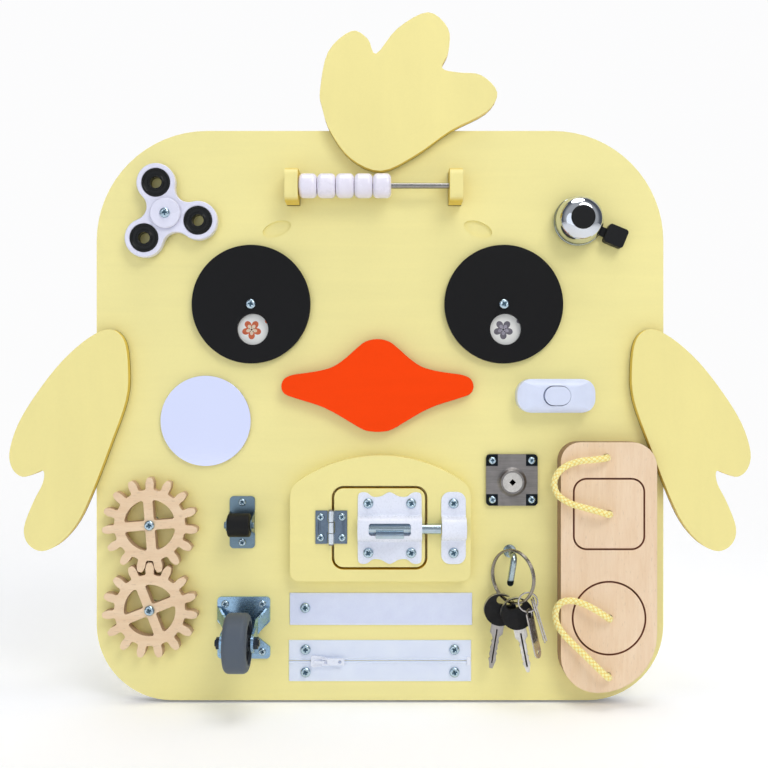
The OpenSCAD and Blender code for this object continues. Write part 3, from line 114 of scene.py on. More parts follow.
class Shading:
    """A tree that nodes are added to. Textures run in the part's own coordinates at rest."""

    def __init__(self, tree):
        self.tree = tree

    def plug(self, value, socket):
        """Gives a socket its value or its link."""
        if isinstance(value, Wire):
            self.tree.links.new(value.socket, socket)
        elif socket.type == "RGBA" and len(value) == 3:
            socket.default_value = (*value, 1)
        else:
            socket.default_value = value

    def node(self, kind, sockets=(), out=0, **settings):
        """Adds a node: settings first, then sockets by name or number. Gives back one of its outputs."""
        made = self.tree.nodes.new("ShaderNode" + kind)
        for key, value in settings.items():
            setattr(made, key, value)
        for key, value in dict(sockets).items():
            self.plug(value, made.inputs[key])
        return Wire(self, made.outputs[out])

    def maths(self, operation, *values):
        return self.node("Math", enumerate(values), operation=operation)

    def mix(self, factor, first, second):
        """Blends two colours. They are a Mix node's inputs 6 and 7, and its output 2."""
        return self.node("Mix", {0: factor, 6: first, 7: second}, 2, data_type="RGBA")

    def axis(self, which, kind="Object"):
        """One coordinate, 0 to 2, of a kind that the Texture Coordinate node gives."""
        return self.node("SeparateXYZ", {"Vector": self.node("TexCoord", out=kind)}, which)

    def offset(self, x, z):
        """How far to the right of a place on the board, given in mm, and how far above it."""
        return self.axis(0) - x * MM, self.axis(2) - z * MM

    def sides(self, low, high):
        """1 on walls that stand square to the board, 0 on faces that look to the front or back."""
        return abs(self.axis(1, "Normal")).spread(low, high, 1, 0)

    def place(self, stretch=(1, 1, 1), shift=(0, 0, 0)):
        spot = self.node("TexCoord", out="Object")
        return self.node("Mapping", {"Vector": spot, "Location": shift, "Scale": stretch})

    def noise(self, scale, detail=2.0, rough=0.5, warp=0.0, **where):
        return self.node("TexNoise", {"Vector": self.place(**where), "Scale": scale, "Detail": detail,
                                      "Roughness": rough, "Distortion": warp})


class Finish(Shading):
    """A material on the Principled shader."""

    def __init__(self, name, colour=None, **inputs):
        self.material = bpy.data.materials.new(name)
        self.material.use_nodes = True
        super().__init__(self.material.node_tree)
        self.shader = self.tree.nodes["Principled BSDF"]
        self.bumps = None
        if colour is not None:
            self.set("Base Color", colour)
        for key, value in inputs.items():
            self.set(key.replace("_", " "), value)

    def set(self, key, value):
        self.plug(value, self.shader.inputs[key])

    def fed(self, key):
        """What feeds an input now."""
        return Wire(self, self.shader.inputs[key].links[0].from_socket)

    def mask(self, factor, colour, rough=None):
        """Gives the finish another colour, and another roughness, where factor is 1."""
        self.set("Base Color", self.mix(factor, self.fed("Base Color"), colour))
        if rough is not None:
            before = self.fed("Roughness")
            self.set("Roughness", before + (rough - before) * factor)

    def bump(self, height, depth, strength):
        """Raises the surface by up to depth, in mm; a second call adds to the first."""
        sockets = {"Height": height, "Distance": depth * MM, "Strength": strength}
        if self.bumps is not None:
            sockets["Normal"] = self.bumps
        self.bumps = self.node("Bump", sockets)
        self.set("Normal", self.bumps)


def linear(red, green, blue):
    """Screen colour, 0 to 255, as shader colour."""
    shares = (c / 255 for c in (red, green, blue))
    return tuple(s / 12.92 if s < 0.039 else ((s + 0.055) / 1.055) ** 2.4 for s in shares)


def darker(colour, share):
    return tuple(share * c for c in colour)


def dress(finish, *names):
    """Gives CAD nodes their material."""
    for name in names:
        nodes[name].data.materials.clear()
        nodes[name].data.materials.append(finish.material)


def soften(width, *names, segments=2):
    """Rounds the sharp edges of CAD nodes, as a tool or a coat of paint leaves them; width is in mm."""
    for name in names:
        weld = nodes[name].modifiers.new("weld", "WELD")
        weld.merge_threshold = 0.01 * MM
        bevel = nodes[name].modifiers.new("bevel", "BEVEL")
        bevel.width = width * MM
        bevel.segments = segments
        bevel.limit_method = "ANGLE"
        bevel.angle_limit = math.radians(32)
        bevel.use_clamp_overlap = True
        bevel.harden_normals = False
        nodes[name].modifiers.new("smooth", "WEIGHTED_NORMAL").keep_sharp = True


def painted(name, colour, seed, grain=(6, 40, 90), rough=0.46, wall=None, foot=None):
    """Rolled paint over grain of this stretch; wall paints its sawn walls darker, as shade, and foot paints
    a dark line of contact shadow where they meet the board.
    """
    paint = Finish(name)
    grey = paint.noise(1, 4, 0.6, 0.4, stretch=grain, shift=(seed, 2 * seed, 0))
    cloud = paint.noise(7, 3, shift=(seed, seed, seed))
    fleck = paint.noise(520, 1.5, shift=(seed, 0, seed))
    shade = grey * 0.45 + cloud * 0.4 + fleck * 0.15
    light = tuple(min(1, c * 1.035) for c in colour)
    skin = paint.mix(shade.spread(0.3, 0.7), darker(colour, 0.955), light)
    # Painted shade: the walls take a deeper colour, and a dark line of contact shadow runs at their foot.
    if wall:
        contact_shade = paint.axis(1).above(FRONT - 1.7 * MM, 0.6 * MM)
        skin = paint.mix(paint.sides(0.4, 0.9), skin, paint.mix(contact_shade, wall, foot))
    paint.set("Base Color", skin)
    paint.set("Roughness", cloud.spread(0.3, 0.7, rough - 0.05, rough + 0.06))
    paint.bump(grey, 0.06, 0.5)
    paint.bump(fleck, 0.05, 0.6)
    return paint


board_paint = painted("board_paint", linear(244, 233, 158), 1.7)
# The downward edge that it stands on is painted dark, as shade under it.
facing_down_shade = board_paint.axis(2, "Normal").spread(-0.6, -0.2, 1, 0)
low_edge_shade = board_paint.axis(2).spread(-212 * MM, -210 * MM, 1, 0)
board_paint.mask(facing_down_shade * low_edge_shade, linear(84, 74, 30), 0.7)
# The tuft, wings and beak get painted shade on their walls and a painted contact shadow at their foot.
trim_paint = painted("trim_paint", linear(243, 230, 152), 4.1, (40, 40, 7),
                     wall=linear(226, 196, 78), foot=linear(84, 68, 6))
beak_paint = painted("beak_paint", linear(252, 68, 0), 2.9, (8, 40, 70), 0.42,
                     wall=linear(190, 40, 0), foot=linear(96, 20, 0))
beak_paint.set("Specular IOR Level", 0.1)
dress(board_paint, "board")
dress(trim_paint, "tuft", "wings")
dress(beak_paint, "beak")
soften(1.2, "board", segments=3)
soften(0.9, "tuft", "wings", "beak")


# ---- Wall hangers ----
# Two pressed steel keyhole plates, let into the back of the board so that it can hang. Their zinc plating
# has a cloudy bluish bloom.
def metal(name, colour, rough, seed, cloud=30, lines=(900, 900, 900), contrast=0.24, pits=0.02):
    """A metal with blooms of size cloud and a grain that lines stretches into brush marks."""
    steel = Finish(name, Metallic=1.0)
    bloom = steel.noise(cloud, 4, 0.6, 0.6, shift=(seed, 0, 0))
    grit = steel.noise(1, 2, 0.6, stretch=lines, shift=(0, seed, 0))
    tone = (bloom * 0.6 + grit * 0.4).spread(0.35, 0.65)
    steel.set("Base Color", steel.mix(tone, darker(colour, 1 - contrast), colour))
    steel.set("Roughness", tone.spread(0, 1, rough + 0.1, rough - 0.03))
    steel.bump(grit, pits, 0.6)
    return steel


zinc = metal("zinc", linear(116, 138, 152), 0.28, 1.1)
dress(zinc, "hanger_plates")

# ---- Eyes ----
# Black painted plywood discs that turn over printed cards. Six small flowers stand on each card, orange
# with a cream middle on the left and grey on the right, and the disc's window shows one at a time.
eye_paint = painted("eye_paint", linear(12, 12, 14), 5.5, (10, 40, 90), 0.5)
eye_paint.set("Specular IOR Level", 0.2)
dress(eye_paint, "left_eye_disc", "right_eye_disc")
soften(0.5, "left_eye_disc", "right_eye_disc")
card = Finish("picture_card", Roughness=0.32, Coat_Weight=0.25, Coat_Roughness=0.2)
card.set("Base Color", card.mix(card.noise(60, 3), linear(226, 226, 222), linear(240, 240, 236)))
dress(card, "eye_cards")


def new_piece(name, mesh, finish, smooth=True):
    """A Blender object from a bmesh, with its material."""
    data = bpy.data.meshes.new(name)
    for face in mesh.faces:
        face.smooth = smooth
    mesh.to_mesh(data)
    mesh.free()
    piece = bpy.data.objects.new(name, data)
    bpy.context.collection.objects.link(piece)
    data.materials.append(finish.material)
    return piece


def on_board(x, z, height):
    """A point over the board's face, from mm."""
    return Vector((x * MM, FRONT - height * MM, z * MM))


def petals(mesh, x, z, height, count, inner, outer, turn=0.0, squeeze=1.0, steps=72):
    """A flat flower outline at a board place, height over the board in mm."""
    rim = []
    for k in range(steps):
        a = 2 * math.pi * k / steps
        r = inner + (outer - inner) * abs(math.cos(count * (a - turn) / 2)) ** squeeze
        rim.append(mesh.verts.new(on_board(x + r * math.cos(a), z + r * math.sin(a), height)))
    mesh.faces.new(rim)


def ink(name, colour, worn):
    """Flat print on coated paper."""
    coat = Finish(name, Coat_Weight=0.2, Coat_Roughness=0.2)
    wash = coat.noise(420, 3, 0.6)
    coat.set("Base Color", coat.mix(wash.spread(0.35, 0.65), worn, colour))
    coat.set("Roughness", wash.spread(0.3, 0.7, 0.36, 0.5))
    return coat


WINDOW_OUT = 19.5
EYES = {"left": (-100, 86.5), "right": (96, 86.5)}
inks = {"left": (ink("orange_ink", linear(205, 98, 44), linear(186, 78, 30)),
                 ink("cream_ink", linear(226, 208, 184), linear(214, 192, 166)),
                 ink("brown_ink", linear(96, 52, 34), linear(74, 38, 24))),
        "right": (ink("grey_ink", linear(112, 108, 118), linear(94, 90, 100)),
                  ink("pale_ink", linear(158, 154, 166), linear(144, 140, 152)),
                  ink("dark_ink", linear(52, 50, 58), linear(40, 38, 46)))}
for side, (x, z) in EYES.items():
    flower, middle, dots = layers = [bmesh.new() for layer in range(3)]
    for k in range(6):
        a = math.radians(-90 + 60 * k)
        px, pz = x + WINDOW_OUT * math.cos(a), z + WINDOW_OUT * math.sin(a)
        count, turn = 5 + k % 2, a + 0.5 * math.sin(3 * k)
        petals(flower, px, pz, 1.03, count, 3.4, 7.6, turn, 0.7)
        petals(middle, px, pz, 1.05, count, 2.2, 4.4, turn, 1.2)
        for j in range(5):
            b = turn + 2 * math.pi * (j + 0.5) / 5
            petals(dots, px + 1.9 * math.cos(b), pz + 1.9 * math.sin(b), 1.07, 1, 0.42, 0.46, steps=12)
        petals(dots, px, pz, 1.07, 1, 0.8, 0.85, steps=20)
    for layer, coat, part in zip(layers, inks[side], ("petals", "middles", "dots")):
        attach(new_piece(side + "_" + part, layer, coat, smooth=False), "root")


# ---- Abacus ----
# Five glossy moulded beads slide on a drawn steel rod. The rod runs between two posts of painted plywood
# that are tabbed into the board.
def moulded(name, colour, rough, seed, coat=0.0, skin_depth=0.04, skin_scale=900):
    """Plastic or rubber with a faint orange-peel skin and handling marks."""
    plastic = Finish(name, Coat_Weight=coat, Coat_Roughness=0.15)
    skin = plastic.noise(skin_scale, 2, shift=(seed, 0, 0))
    marks = plastic.noise(40, 4, 0.65, shift=(0, seed, 0))
    plastic.set("Base Color", plastic.mix(marks.spread(0.35, 0.65), darker(colour, 0.93), colour))
    plastic.set("Roughness", marks.spread(0.35, 0.65, rough - 0.04, rough + 0.08))
    plastic.bump(skin, skin_depth, 0.5)
    return plastic


drawn_steel = metal("drawn_steel", linear(158, 156, 152), 0.22, 4.4, 60, (60, 1600, 1600))
dress(trim_paint, "abacus_posts")
dress(drawn_steel, "abacus_rod")
bead_plastic = moulded("bead_plastic", linear(240, 236, 250), 0.25, 9.4, 0.35)
dress(bead_plastic, *("bead_%d" % n for n in range(1, 6)))
soften(0.6, "abacus_posts")

# ---- Spinner ----
# A white moulded body with three glossy black ring weights in its arms. It turns on a steel bearing, which
# its centre cap covers.
white_plastic = moulded("white_plastic", linear(228, 228, 246), 0.28, 1.2, 0.3)
weight_black = moulded("weight_black", linear(9, 10, 10), 0.25, 3.7)
weight_black.set("Specular IOR Level", 0.25)
dress(white_plastic, "spinner_body", "spinner_cap")
dress(weight_black, "spinner_weights")
dress(drawn_steel, "spinner_bearing")
soften(0.8, "spinner_body", segments=3)
soften(0.4, "spinner_weights")


# ---- Bell ----
# A spun steel dome under thick chrome, with a round shoulder, a straight wall and a rolled lip, on a
# black moulded base with its cap and thumb lever.
def lathe(mesh, x, z, profile, around=32, turn=0.0, recess=None):
    """Adds a turned form that stands on the board; profile holds (radius, height over the board) in mm.

    recess(u, v) is the depth of a pressed recess; its walls take the second material, a darker one as
    painted shade."""
    rings = []
    for r, h in profile:
        ring = []
        for k in range(around if r > 0 else 1):
            a = 2 * math.pi * k / around
            sunk = recess(r * math.cos(a), r * math.sin(a)) if recess else 0
            spot = on_board(x + r * math.cos(a + turn), z + r * math.sin(a + turn), h - sunk)
            ring.append(mesh.verts.new(spot))
        rings.append(ring)
    for low, high in zip(rings, rings[1:]):
        for k in range(around):
            corners = [ring[j % len(ring)] for ring, j in ((low, k), (low, k + 1), (high, k + 1), (high, k))]
            face = mesh.faces.new(dict.fromkeys(corners))
            if recess:
                middle = face.calc_center_median() / MM
                u, v = Matrix.Rotation(-turn, 2) @ Vector((middle.x - x, middle.z - z))
                face.material_index = int(recess(u, v) > 0.3)


def arc(r, h, size, start, end, count):
    """Points of a circle's arc as (radius, height) pairs; the angles are in degrees."""
    return [(r + size * math.cos(a), h + size * math.sin(a))
            for a in (math.radians(start + (end - start) * i / count) for i in range(count + 1))]


BELL = (153.4, 150.7)
chrome = metal("chrome", linear(216, 220, 226), 0.06, 6.6, 20, contrast=0.06, pits=0.001)
# The wall below the shoulder is a little duller, and painted darker as the shade that it reflects.
chrome.mask(chrome.axis(1).above(FRONT - 12 * MM, 0.5 * MM), linear(168, 176, 176), 0.16)
dome = bmesh.new()
lathe(dome, *BELL, [(3.1, 22.85), (3.1, 24), (4.6, 24)] + arc(6.2, 12, 12, 90, 0, 48)
      + [(18.2, 8.4)] + arc(19.2, 7.2, 1, 180, 250, 6) + arc(18.6, 5.6, 0.6, 60, -90, 8)
      + [(17, 5), (17, 12)] + arc(6.2, 12, 10.8, 0, 90, 24) + [(3.1, 22.85)], 160)
bell_shell = new_piece("bell_shell", dome, chrome)
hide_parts("bell_dome")
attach(bell_shell, "root")
black_plastic = moulded("black_plastic", linear(14, 15, 18), 0.45, 2.2, 0.0, 0.06, 1400)
black_plastic.set("Specular IOR Level", 0.25)
dress(black_plastic, "bell_base", "bell_cap", "bell_lever")
soften(0.4, "bell_lever")

# ---- Round mirror ----
# A disc of polished acrylic, glued to the board. Its face is silvered, with a hair of haze and a few fine
# wipe marks.
mirror = Finish("mirror", Metallic=1.0)
haze = mirror.noise(9, 4, 0.6)
mirror.set("Base Color", mirror.mix(haze, linear(198, 200, 220), linear(204, 206, 226)))
mirror.set("Roughness", haze.spread(0.4, 0.7, 0.05, 0.12))
dress(mirror, "mirror_disc")
soften(0.4, "mirror_disc")

# ---- Switch ----
# An inline switch of pale satin plastic, fixed flat to the board. A rocker sits in the face of its rounded
# housing.
dress(moulded("switch_plastic", linear(222, 230, 252), 0.33, 6.4, 0.15), "switch_housing", "switch_rocker")
soften(0.4, "switch_housing", "switch_rocker")

# ---- Lock ----
# A die-cast cam lock: its plate is brushed flat, with its corner recesses for the screws painted near
# black as shade, and its plug is paler, with its keyhole painted black as the shade inside it.
LOCK = (102.5, -50)
KEYHOLE = (102.5, -51.5)
lock_metal = metal("lock_metal", linear(150, 146, 144), 0.38, 7.9, 50, (60, 300, 1500), 0.32)
across, up = lock_metal.offset(*LOCK)
# Painted shade: the corner recesses go near black.
lock_metal.mask(abs(across).least(abs(up)).above(10.9 * MM, 0.1 * MM), linear(34, 40, 46), 0.35)
plug_metal = metal("plug_metal", linear(222, 219, 214), 0.42, 8.1, 90)
across, up = plug_metal.offset(*KEYHOLE)
# Painted shade: the keyhole is painted black.
plug_metal.mask(1 - (abs(across) + abs(up)).above(2.62 * MM, 0.06 * MM), (0.003, 0.003, 0.003), 0.9)
dress(lock_metal, "lock_body")
dress(plug_metal, "lock_plug")
soften(0.25, "lock_body")

# ---- Door, hinge and bolt ----
# The leaf hangs in a slit sawn through the arched panel, on a zinc butt hinge whose knuckle is painted
# bright, as a highlight. A bolt in a white powder-coated housing on the leaf slides into its keeper on the
# panel.
DOOR = (-0.3, -86)
DOOR_HALF = (36.8, 32.2)
HINGE_X = -37.4
panel_paint = painted("panel_paint", linear(243, 231, 154), 7.3, (7, 40, 60))
# The walls of the slit are painted a deeper gold, as shade inside the slit.
across, up = panel_paint.offset(*DOOR)
outside = (abs(across) - DOOR_HALF[0] * MM).most(abs(up) - DOOR_HALF[1] * MM)
slit_shade = outside.spread(0.3 * MM, 0.6 * MM, 1, 0)
panel_paint.mask(panel_paint.sides(0.5, 0.9) * slit_shade, linear(232, 196, 30), 0.7)
hinge_zinc = metal("hinge_zinc", linear(112, 128, 146), 0.3, 7.4, 60)
# Painted highlight: the knuckle is lighter and smoother than the leaves.
knuckle_highlight = abs(hinge_zinc.axis(0) - HINGE_X * MM).spread(2.2 * MM, 2.8 * MM, 1, 0)
hinge_zinc.mask(knuckle_highlight, linear(214, 222, 230), 0.2)
white_coat = Finish("white_coat", Coat_Weight=0.3, Coat_Roughness=0.1)
peel = white_coat.noise(700, 2)
cloud = white_coat.noise(25, 3).spread(0.35, 0.65)
white_coat.set("Base Color", white_coat.mix(cloud, linear(226, 231, 246), linear(236, 240, 253)))
white_coat.set("Roughness", peel.spread(0.3, 0.7, 0.24, 0.34))
white_coat.bump(peel, 0.06, 0.6)
dress(panel_paint, "door_panel", "door_leaf")
dress(hinge_zinc, "hinge_frame_leaf", "hinge_door_leaf")
dress(drawn_steel, "hinge_pin")
dress(white_coat, "bolt_housing", "keeper")
dress(metal("rod_steel", linear(186, 204, 216), 0.14, 6.1, 60, (40, 1500, 1500)), "bolt_rod")
soften(0.9, "door_panel", "door_leaf")
soften(0.25, "hinge_frame_leaf", "hinge_door_leaf")
soften(0.5, "bolt_housing", "keeper")


# ---- Hook-and-loop strip ----
# Woven polyester, pale lavender, screwed down at its left end. The loop face is a short brushed pile
# with woven borders, over its hook tape.
def slab(name, xs, zs, top, finish, cell=0.5, low=0.02):
    """A closed cloth slab on the board, in mm; top(x, z) is its height, less near its rounded edge."""
    mesh = bmesh.new()
    nx, nz = (max(2, round((b - a) / cell)) for a, b in (xs, zs))
    over, under = [], []
    for grid in (over, under):
        for i in range(nx + 1):
            x = xs[0] + (xs[1] - xs[0]) * i / nx
            grid.append([])
            for j in range(nz + 1):
                z = zs[0] + (zs[1] - zs[0]) * j / nz
                edge = min(x - xs[0], xs[1] - x, z - zs[0], zs[1] - z)
                rounding = 0.18 * max(0, 1 - edge / 0.5) ** 2
                height = top(x, z) - rounding if grid is over else low
                grid[-1].append(mesh.verts.new(on_board(x, z, height)))
    for i in range(nx):
        for j in range(nz):
            mesh.faces.new((over[i][j], over[i + 1][j], over[i + 1][j + 1], over[i][j + 1]))
            mesh.faces.new((under[i][j + 1], under[i + 1][j + 1], under[i + 1][j], under[i][j]))
    rim = ([(i, 0) for i in range(nx)] + [(nx, j) for j in range(nz)] + [(i, nz) for i in range(nx, 0, -1)]
           + [(0, j) for j in range(nz, 0, -1)])
    for (i, j), (k, m) in zip(rim, rim[1:] + rim[:1]):
        mesh.faces.new((over[i][j], under[i][j], under[k][m], over[k][m]))
    return new_piece(name, mesh, finish)


def ripple(x, z, size, seed):
    return noise.noise(Vector((x / size, z / size, seed)))


STRIP_Z = -150.6
PILE_HALF = 11.3
loop_pile = Finish("loop_pile", Roughness=0.95, Sheen_Weight=0.35)
fuzz = loop_pile.noise(900, 4, 0.7, 1.5)
nap = loop_pile.noise(90, 4, 0.6, shift=(2, 0, 5))
tuftiness = (fuzz * 0.45 + nap * 0.55).spread(0.35, 0.65)
border = abs(loop_pile.axis(2) - STRIP_Z * MM).above(PILE_HALF * MM, 0.3 * MM)
loop_pile.set("Base Color", loop_pile.mix(tuftiness, linear(216, 223, 248), linear(223, 231, 253)))
loop_pile.mask(border * 0.4, linear(232, 236, 252))
loop_pile.bump(fuzz, 0.3, 0.8)
loop_pile.bump(nap, 0.4, 0.5)


def loop_height(x, z):
    return 0.98 + 0.1 * ripple(x, z, 14, 3) + (0.06 if abs(z - STRIP_Z) < PILE_HALF else 0)


loop_tape = slab("loop_tape", (-70.3, 71.7), (-163.1, -138.1), loop_height, loop_pile)
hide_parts("loop_strip")
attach(loop_tape, "root")

# ---- Zipper ----
# Two woven tapes, each screwed at both ends. Their turned edges make two fine ridges that meet over the
# coil. The slider, its pull and the stop at the right end are white enamelled metal.
ZIPPER_Z = -191
tape_cloth = Finish("tape_cloth", Roughness=0.85, Sheen_Weight=0.2)
warp, weft = (
    tape_cloth.node("TexWave", {"Vector": tape_cloth.place(), "Scale": scale, "Distortion": distortion,
                                "Detail": 1.0}, bands_direction=way)
    for way, scale, distortion in (("X", 500.0, 2.5), ("Z", 380.0, 2.0)))
weave = (warp + weft) * 0.25 + tape_cloth.noise(60, 3) * 0.5
tape_cloth.set("Base Color", tape_cloth.mix(weave.spread(0.2, 0.8), linear(215, 224, 246),
                                            linear(234, 241, 254)))
tape_cloth.bump(weave, 0.12, 0.8)


def fold_height(x, z):
    """Height of a tape: a rolled ridge over the coil at the middle line, then flat."""
    away = abs(z - ZIPPER_Z)
    ridge = 0.95 * math.exp(-((away - 1.5) / 0.62) ** 2)
    gather = 0.048 * math.exp(-away / 3) * math.sin(x * 2.4)
    return min(1.5, 0.62 + ridge + gather + 0.1 * ripple(x, away, 16, 6))


TAPE = (-71, 71)
upper_tape = slab("upper_tape", TAPE, (ZIPPER_Z + 0.2, ZIPPER_Z + 16), fold_height, tape_cloth)
lower_tape = slab("lower_tape", TAPE, (ZIPPER_Z - 16, ZIPPER_Z - 0.2), fold_height, tape_cloth)
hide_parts("zipper_tapes")
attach(upper_tape, "root")
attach(lower_tape, "root")
dress(white_coat, "zipper_slider", "zipper_pull")
soften(0.5, "zipper_slider", "zipper_pull", segments=3)


def bar(x, z, height, size, lean=0.0, drop=0.0):
    """A bar whose middle lies drop mm under a place over the board, swung about that place by lean."""
    mesh = bmesh.new()
    bmesh.ops.create_cube(mesh, size=1)
    swing = Matrix.Rotation(math.radians(lean), 3, (0, -1, 0))
    for corner in mesh.verts:
        reach = Vector([s * c * MM for s, c in zip(size, corner.co)]) - Vector((0, 0, drop * MM))
        corner.co = swing @ reach + on_board(x, z, height)
    return mesh


stop = bar(68.9, ZIPPER_Z, 1.3, (3.2, 1.6, 6.4))
bmesh.ops.bevel(stop, geom=stop.edges[:], offset=0.5 * MM, segments=3, profile=0.6, affect="EDGES")
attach(new_piece("zip_stop", stop, white_coat), "root")


# ---- Gears ----
# Two spoked spur gears of sanded birch plywood: a soft pink-beige grain with short dark pores, and sawn
# sides browned by the laser. They turn on spacers and shouldered screws.
def birch(name, pale, deep, grain, seed, burnt, rough=0.55):
    """Bare birch whose grain is drawn out along the axis with the smallest stretch."""
    wood = Finish(name)
    rings = wood.noise(1, 5, 0.62, 1.4, stretch=grain, shift=(seed, seed, seed))
    streaks = wood.noise(1, 3, 0.7, stretch=tuple(6 * g for g in grain), shift=(0, seed, 0))
    fine = tuple(g * (14 if g > 20 else 22) for g in grain)
    pores = wood.noise(1, 2, 0.5, stretch=fine, shift=(seed, 0, 0))
    shade = (rings * 0.6 + streaks * 0.4).spread(0.32, 0.68)
    face = wood.mix(pores.above(0.66, 0.04) * 0.3, wood.mix(shade, deep, pale), darker(deep, 0.6))
    scorch = (streaks * 0.4 + 0.75) * burnt
    wood.set("Base Color", wood.mix(wood.sides(0.35, 0.75) * scorch, face, linear(120, 74, 40)))
    wood.set("Roughness", shade.spread(0, 1, rough + 0.08, rough - 0.04))
    wood.bump(rings, 0.05, 0.5)
    wood.bump(pores, 0.06, 0.7)
    return wood


gear_wood = birch("gear_wood", linear(242, 216, 183), linear(230, 197, 159), (9, 45, 70), 3.1, 0.45)
dress(gear_wood, "upper_gear", "lower_gear")
soften(0.4, "upper_gear", "lower_gear")

# ---- Roller and caster ----
# A matt black roller in a zinc bracket, and a fixed caster: grey rubber tyre on a moulded wheel, in a
# blue-bright pressed fork, on a blackened bolt.
roller_rubber = moulded("roller_rubber", linear(11, 12, 13), 0.5, 5.8, 0.0, 0.07, 1200)
roller_rubber.set("Specular IOR Level", 0.25)
dress(roller_rubber, "roller_wheel")
dress(zinc, "roller_bracket")
dress(moulded("wheel_plastic", linear(66, 72, 82), 0.45, 7.7), "caster_wheel")
dress(moulded("tyre_rubber", linear(82, 92, 105), 0.6, 8.8, 0.0, 0.09, 700), "caster_tyre")
dress(metal("dark_zinc", linear(156, 190, 220), 0.24, 2.6), "caster_fork")
dress(metal("black_zinc", linear(62, 68, 76), 0.3, 9.2, 200), "caster_axle")
soften(0.25, "caster_fork", "roller_bracket")

# ---- Keys ----
# Two keys with black moulded bows on bright nickel blades, and two flat keys on a small ring, all on a
# split ring that hangs from a zinc screw hook.
HOOK = (101, -105.5)
RING_R = 20
RING_OUT = 18.5
RING_DROP = 16.5
RING_TILT = math.radians(47)
WIRE_R = 0.9
HOLE_TO_BOW = 7
# Height over the board, lean in degrees, and how far the key has slid across.
BACK_KEY = (13.5, -9, -3.4)
FRONT_KEY = (19.5, 11, 0.6)


def hung_at(height, lean, along):
    """Place of a bow's middle: the key hangs where the tilted ring passes this height over the board."""
    t = (height - RING_OUT) / math.sin(RING_TILT)
    x = HOOK[0] + t * math.cos(RING_TILT)
    z = HOOK[1] - RING_DROP - math.sqrt(RING_R ** 2 - t * t) - WIRE_R
    c, s = (f(math.radians(lean)) for f in (math.cos, math.sin))
    return x + along * c + HOLE_TO_BOW * s, z + along * s - HOLE_TO_BOW * c


def key_finish(name, middle, seed, bright):
    """Black plastic round the bow's middle, drawn steel beyond it."""
    key = Finish(name, Coat_Weight=0.05)
    across, up = key.offset(*middle)
    steel = across.far(up).above(12.31 * MM, 0.06 * MM)
    grain = key.noise(1, 3, 0.6, stretch=(1800, 1800, 260), shift=(seed, 0, 0))
    marks = key.noise(160, 4, 0.65, shift=(0, seed, 0))
    skin = key.noise(1500, 2, shift=(seed, seed, 0))
    black = key.mix(marks.spread(0.4, 0.6), linear(13, 13, 14), linear(24, 24, 26))
    plate = key.mix((grain * 0.4 + marks * 0.6).spread(0.35, 0.65), darker(bright, 0.62), bright)
    key.set("Base Color", key.mix(steel, black, plate))
    key.set("Metallic", steel)
    key.set("Specular IOR Level", 0.2)
    key.set("Roughness", 0.5 - steel * 0.24 + grain * 0.12)
    key.bump(skin, 0.04, 0.5)
    key.bump(grain * steel, 0.03, 0.7)
    return key


groove_shade_steel = metal("groove_shade", linear(58, 52, 46), 0.4, 5.9, 300)
for body, hung, seed, bright in (("back_key", BACK_KEY, 4.3, linear(176, 172, 170)),
                                 ("front_key", FRONT_KEY, 7.1, linear(232, 230, 228))):
    dress(key_finish(body + "_finish", hung_at(*hung), seed, bright), body)
    soften(0.4, body, segments=3)
    # A dark bar on the floor of the groove that is milled along the blade: painted shade in the groove.
    groove_shade_bar = bar(*hung_at(*hung), hung[0], (1.02, 0.7, 26), lean=hung[1], drop=28.3)
    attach(new_piece(body + "_groove", groove_shade_bar, groove_shade_steel), body)
hook_steel = metal("hook_steel", linear(176, 192, 196), 0.16, 8.8, 300)
# The hook is darker at its lower end.
hook_steel.mask(hook_steel.axis(2).spread(-123.2 * MM, -122.2 * MM, 1, 0), linear(24, 30, 34), 0.5)
dress(hook_steel, "key_hook")
dress(metal("ring_steel", linear(158, 152, 142), 0.2, 4.7, 300), "key_ring")
dress(metal("nickel", linear(196, 192, 190), 0.2, 5.2, 200), "flat_keys")
soften(0.2, "flat_keys")

# ---- Shape sorter ----
# A bare birch panel with a square and a round piece cut out of it. The laser's heat leaves a burnt rim
# on both sides of each slit.
SQUARE = (175, -74.7)
CIRCLE = (175, -154.3)
CIRCLE_R = 27.8
SQUARE_FLAT = 17
CORNER_R = 9.9
panel_wood = birch("panel_wood", linear(244, 219, 189), linear(233, 201, 165), (70, 45, 9), 8.2, 0.8)
across, up = panel_wood.offset(*CIRCLE)
round_slit = abs(across.far(up) - CIRCLE_R * MM)
wide, tall = (abs(way) - SQUARE_FLAT * MM for way in panel_wood.offset(*SQUARE))
corner = wide.most(0).far(tall.most(0))
square_slit = abs(corner + wide.most(tall).least(0) - CORNER_R * MM)
burn = round_slit.least(square_slit).spread(0.6 * MM, 0.9 * MM, 1, 0)
panel_wood.mask(burn * 0.95, linear(128, 60, 18))
dress(panel_wood, "sorter_panel", "square_shape", "circle_shape")
soften(0.5, "sorter_panel", "square_shape", "circle_shape")


# ---- Ropes ----
# Two braided yellow cords, each knotted behind the panel and behind the shape that it holds. A swept
# mesh carries the braid: two families of four strands that pass over and under in turn.
def spline(points, steps):
    """Catmull-Rom curve through the points."""
    curve = []
    for i in range(len(points) - 1):
        a, b, c, d = (points[min(max(k, 0), len(points) - 1)] for k in (i - 1, i, i + 1, i + 2))
        for t in (j / steps for j in range(steps)):
            curve.append(0.5 * (2 * b + (c - a) * t + (2 * a - 5 * b + 4 * c - d) * t * t
                                + (3 * b - a - 3 * c + d) * t ** 3))
    return curve + [points[-1]]


